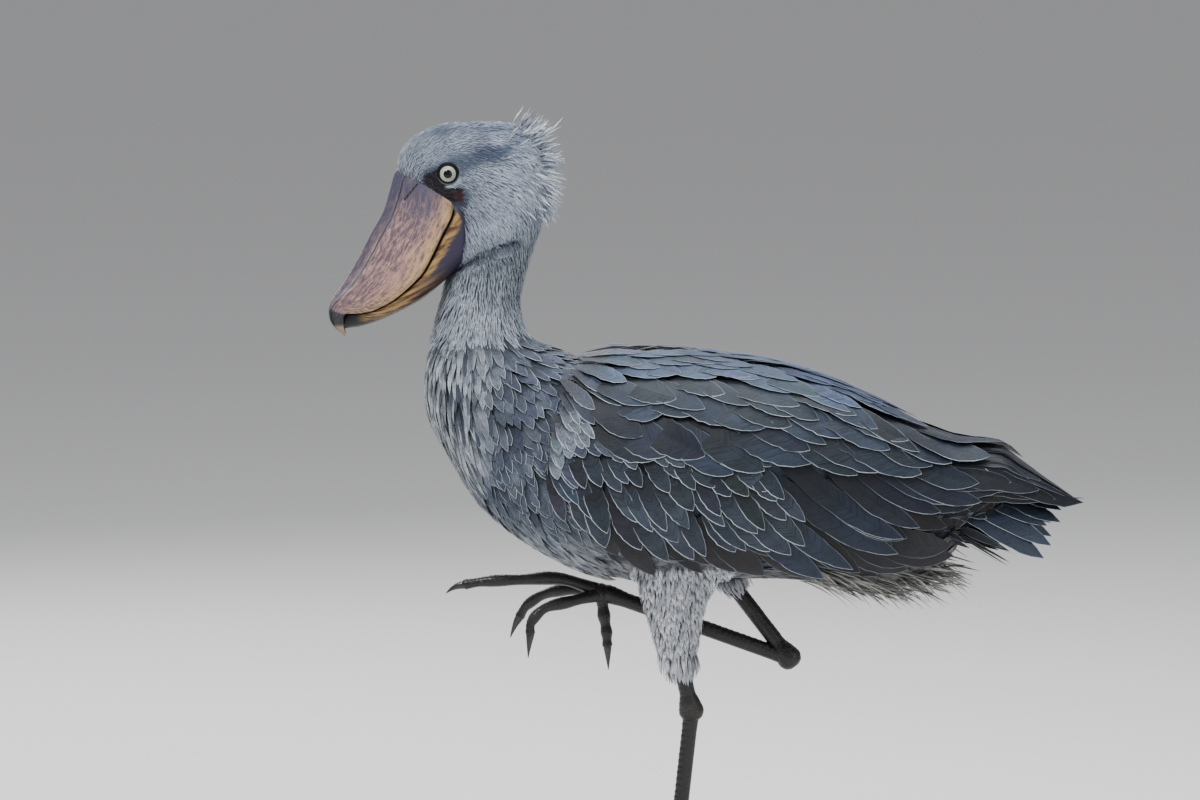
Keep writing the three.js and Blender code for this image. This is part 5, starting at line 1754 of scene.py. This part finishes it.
def make_lids(name, side):
    """The dark, folded ring of lids round an eye, paler below."""
    rows, sides = 96, 22
    lift = math.sqrt(EYE["radius"] ** 2 - LID["rim"] ** 2)
    swell = turns(sides)
    rings, tints = [], []
    for turn in turns(rows):
        heavy = LID["thick"] * (1 + 0.3 * max(0.0, math.sin(turn)) + 0.05 * math.sin(23 * turn))
        fold = 1 + 0.12 * np.cos(3 * swell)
        reach = LID["rim"] + 0.9 + heavy * fold * np.cos(swell)
        rings.append(xyz(EYE["x"] + reach * math.cos(turn),
                         side * (EYE["y"] + lift - 0.6 + heavy * 0.8 * fold * np.sin(swell)),
                         EYE["z"] + reach * math.sin(turn)))
        pale = np.clip(-math.sin(turn) - 0.2, 0, 1) * smoothstep(0.2, 0.9, np.cos(swell))
        tints.append(blend(LID_DARK, LID_PALE, pale))
    faces = ring_faces(rows + 1, sides)
    faces = [tuple(i % (rows * sides) for i in face) for face in faces]
    made = make_object(f"lids_{name}", np.concatenate(rings), faces)
    put_attribute(made, "tint", "FLOAT_COLOR", np.concatenate(tints))
    dress(made, SKIN, "plumage_grey")


# Legs and feet

def tube_along(centres, fores, halves, sides=28, scutes=0.0, pitch=5.0):
    """Rings along a centre line, with raised scutes on the upper side."""
    centres = np.asarray(centres, float)
    alongs = unit(np.gradient(centres, axis=0))
    run = np.concatenate([[0], np.cumsum(np.linalg.norm(np.diff(centres, axis=0), axis=1))])
    angles = turns(sides)
    rings = []
    for centre, along, fore, half, far in zip(centres, alongs, fores, halves, run):
        across = unit(np.cross(along, [0, 0, 1] if abs(along[2]) < 0.9 else [-1, 0, 0]))
        up = np.cross(across, along)
        step = scutes * (1 - (far / pitch) % 1) * np.clip(np.sin(angles) + 0.2, 0, 1)
        rings.append(centre + across * ((half + step) * np.cos(angles))[:, None]
                     + up * ((fore + step) * np.sin(angles))[:, None])
    return closed_tube(np.array(rings))


def spline(points, count):
    """Even places along a smooth line through points."""
    points = np.asarray(points, float)
    padded = np.concatenate([[2 * points[0] - points[1]], points, [2 * points[-1] - points[-2]]])
    out = []
    for at in np.linspace(0, len(points) - 1 - 1e-6, count):
        i = int(at)
        out.append(between(*padded[i:i + 4], at - i))
    return np.array(out)


def limb_part(start, end, stations, count):
    """Centres and radii of a straight limb, from stations along it."""
    start, end = np.array(start, float), np.array(end, float)
    t = np.linspace(stations[0][0], stations[-1][0], count)
    columns = table(("t", "fore", "half"), stations)
    centres = start + (end - start) * t[:, None]
    return centres, measure(columns, "t", "fore", t), measure(columns, "t", "half", t)


def leg_parts(leg):
    """The shank with its ankle, the tarsus and the hub of a leg."""
    knee, ankle, hub = (np.array(leg[key], float) for key in ("knee", "ankle", "hub"))
    reach = ANKLE["reach"] / np.linalg.norm(ankle - knee)
    fore, half = ANKLE["fore"], ANKLE["half"]
    shank = limb_part(knee, ankle, (
        (-0.3, SHANK["fore"], SHANK["half"]), (1 - reach, SHANK["fore"], SHANK["half"]),
        (1 - reach * 0.5, fore * 0.84, half * 0.94), (1, fore, half),
        (1 + reach * 0.35, fore * 0.78, half * 0.84), (1 + reach * 0.5, fore * 0.4, half * 0.45),
    ), 60)
    fore, half = TARSUS["fore"], TARSUS["half"]
    tarsus = limb_part(ankle, hub, (
        (0.0, fore * 1.12, half * 1.12), (0.12, fore, half), (0.85, fore, half),
        (0.95, HUB["radius"] * 0.84, HUB["radius"] * 0.84),
        (1.0, HUB["radius"] * 0.7, HUB["radius"] * 0.78),
    ), 150)
    shank = tube_along(*shank, scutes=0.5, pitch=6.5)
    tarsus = tube_along(*tarsus, scutes=0.8, pitch=7.5)
    return [shank, tarsus, hub_ball(hub)]


def hub_ball(hub):
    """The middle of a foot, where the toes meet."""
    angles = turns(24)
    rings = []
    for bow in np.linspace(0.1, math.pi - 0.1, 14):
        r = HUB["radius"] * 0.97
        rings.append(xyz(hub[0] + r * math.sin(bow) * np.cos(angles),
                         hub[1] - r * math.sin(bow) * np.sin(angles),
                         hub[2] - HUB["below"] + r * math.cos(bow)))
    return closed_tube(rings)


def standing_points(toe):
    """The centre line of a toe on the floor, and where it heads."""
    turn = math.radians(180 + toe["angle"])
    heading = np.array([math.cos(turn), math.sin(turn), 0])
    hub = np.array(LEFT_LEG["hub"], float)
    points = []
    for t in (0, 0.35, 0.7, 1):
        radius = toe["base"] + (toe["tip"] - toe["base"]) * t - 1.2
        points.append([hub[0], hub[1], radius] + heading * toe["length"] * t)
    return np.array(points), heading


def toe_part(toe, points):
    """A toe with a pad under each joint and scutes on top."""
    count = max(30, int(np.linalg.norm(np.diff(points, axis=0), axis=1).sum() / 1.6))
    centres = spline(points, count)
    t = np.linspace(0, 1, count)
    radius = (toe["base"] + (toe["tip"] - toe["base"]) * t) * (0.97 + 0.1 * np.cos(t * np.pi * 6))
    radius = radius * (1 - 0.35 * smoothstep(0.96, 1.0, t))
    return tube_along(centres, radius, radius, sides=24, scutes=0.55, pitch=4.6)


def claw_part(root, heading, drop):
    """A curved, tapering claw."""
    t = np.linspace(-0.3, 0.97, 20)
    ahead = np.maximum(t, 0)
    centres = root + heading * (CLAW["length"] * t)[:, None]
    centres = centres - np.array([0, 0, 1.0]) * (drop * ahead ** 2)[:, None]
    radius = CLAW["radius"] * (1 - 0.94 * ahead ** 1.2)
    return tube_along(centres, radius * 1.05, radius * 0.9, sides=16)


def on_floor(parts):
    """The part with nothing below the floor."""
    points, faces = parts
    points[:, 2] = np.maximum(points[:, 2], 0.0)
    return points, faces


def make_leg(name, leg, toes, floor):
    """One leg with its foot, and its claws as a piece of their own."""
    parts = leg_parts(leg)
    claws = []
    for toe in toes.values():
        if floor:
            points, heading = standing_points(toe)
            root = points[-1] + heading * CLAW["gap"]
            root[2] = CLAW["floor_z"]
        else:
            points = np.array(toe["points"], float)
            heading = unit(points[-1] - points[-2])
            root = points[-1] + heading * CLAW["gap"]
        parts.append(toe_part(toe, points))
        claws.append(claw_part(root, heading, CLAW["floor_drop"] if floor else CLAW["drop"]))
    whole, horn = join_parts(parts), join_parts(claws)
    if floor:
        whole, horn = on_floor(whole), on_floor(horn)
    skin = make_object(f"leg_{name}", *whole)
    bare = ("shank", "tarsus", "foot") + tuple(f"toe_{name}_{toe}" for toe in toes)
    nodes = [part if part.startswith("toe") else f"{part}_{name}" for part in bare]
    dress(skin, LEG_SKIN, "leg_skin", *nodes)
    nails = make_object(f"claws_{name}", *horn)
    dress(nails, CLAW_HORN, "claw_horn", *(f"claw_{name}_{toe}" for toe in toes))


# The studio

CENTRE = (-84, 0, 624)
CAMERA = {"far": 20000, "elevation": 6.0, "lens": 500, "sensor": 36, "sight": 100}
FLOOR = {"reach": 30000, "tint": (0.72, 0.71, 0.69, 1)}
WORLD = {"tint": (0.93, 0.95, 1.0, 1), "strength": 0.42}

# Each lamp's place and size in metres, its energy and its tint. They face one point.
LIT = (0, 0, 0.6)
LAMPS = (
    ("key", (-1.4, -1.9, 3.3), 1.3, 120, (1, 1, 1)),
    ("top", (0.5, 0.5, 3.6), 2.2, 150, (0.93, 0.97, 1.0)),
    ("fill", (2.6, -2.8, 1.4), 2.5, 30, (1, 1, 1)),
    ("rim", (-1.2, 2.8, 2.2), 2.0, 60, (1, 1, 1)),
)


def make_floor():
    """A plain pale floor."""
    far = FLOOR["reach"]
    corners = [(-far, -far, 0), (far, -far, 0), (far, far, 0), (-far, far, 0)]
    floor = make_object("floor", corners, [(0, 1, 2, 3)], smooth=False)
    n = Nodes("studio_floor", Roughness=0.9, Base_Color=FLOOR["tint"])
    floor.data.materials.append(n.material)


def area_light(name, place, target, size, energy, tint):
    """A soft lamp that faces a point."""
    data = bpy.data.lights.new(name, "AREA")
    data.size, data.energy, data.color = size, energy, tint
    lamp = bpy.data.objects.new(name, data)
    lamp.location = place
    lamp.rotation_euler = (Vector(target) - Vector(place)).to_track_quat("-Z", "Y").to_euler()
    bpy.context.scene.collection.objects.link(lamp)


def make_studio():
    """Lights and world."""
    for name, place, size, energy, tint in LAMPS:
        area_light(name, place, LIT, size, energy, tint)
    world = bpy.data.worlds.new("studio")
    world.use_nodes = True
    back = world.node_tree.nodes["Background"]
    back.inputs["Color"].default_value = WORLD["tint"]
    back.inputs["Strength"].default_value = WORLD["strength"]
    bpy.context.scene.world = world


def make_camera():
    """The camera at the photo's angle and framing."""
    data = bpy.data.cameras.new("camera")
    data.lens, data.sensor_width = CAMERA["lens"], CAMERA["sensor"]
    data.clip_end = CAMERA["sight"]
    camera = bpy.data.objects.new("camera", data)
    lift = math.radians(CAMERA["elevation"])
    centre = Vector(CENTRE) * MM
    away = Vector((0, -math.cos(lift), math.sin(lift))) * CAMERA["far"] * MM
    camera.location = centre + away
    camera.rotation_euler = (-away).to_track_quat("-Z", "Y").to_euler()
    bpy.context.scene.collection.objects.link(camera)
    bpy.context.scene.camera = camera


def main():
    """Builds the bird, its coat and the studio."""
    skin = make_skin()
    tree = skin_tree(skin)
    dress(skin, SKIN, "plumage_grey", "head", "neck", "torso")
    coat_head(skin, tree)
    coat_neck(skin, tree)
    coat_trunk(skin, tree)
    coat_crest()
    coat_thigh(skin, tree, LEFT_LEG, -1)
    coat_thigh(skin, tree, RIGHT_LEG, 1)
    coat_wing(1)
    coat_wing(-1)
    coat_tail()
    coat_undertail()
    make_bills()
    for name, side in (("left", -1), ("right", 1)):
        make_eye(name, side)
        make_lids(name, side)
    make_leg("left", LEFT_LEG, STANDING_TOES, True)
    make_leg("right", RIGHT_LEG, RAISED_TOES, False)
    make_floor()
    make_studio()
    make_camera()


main()
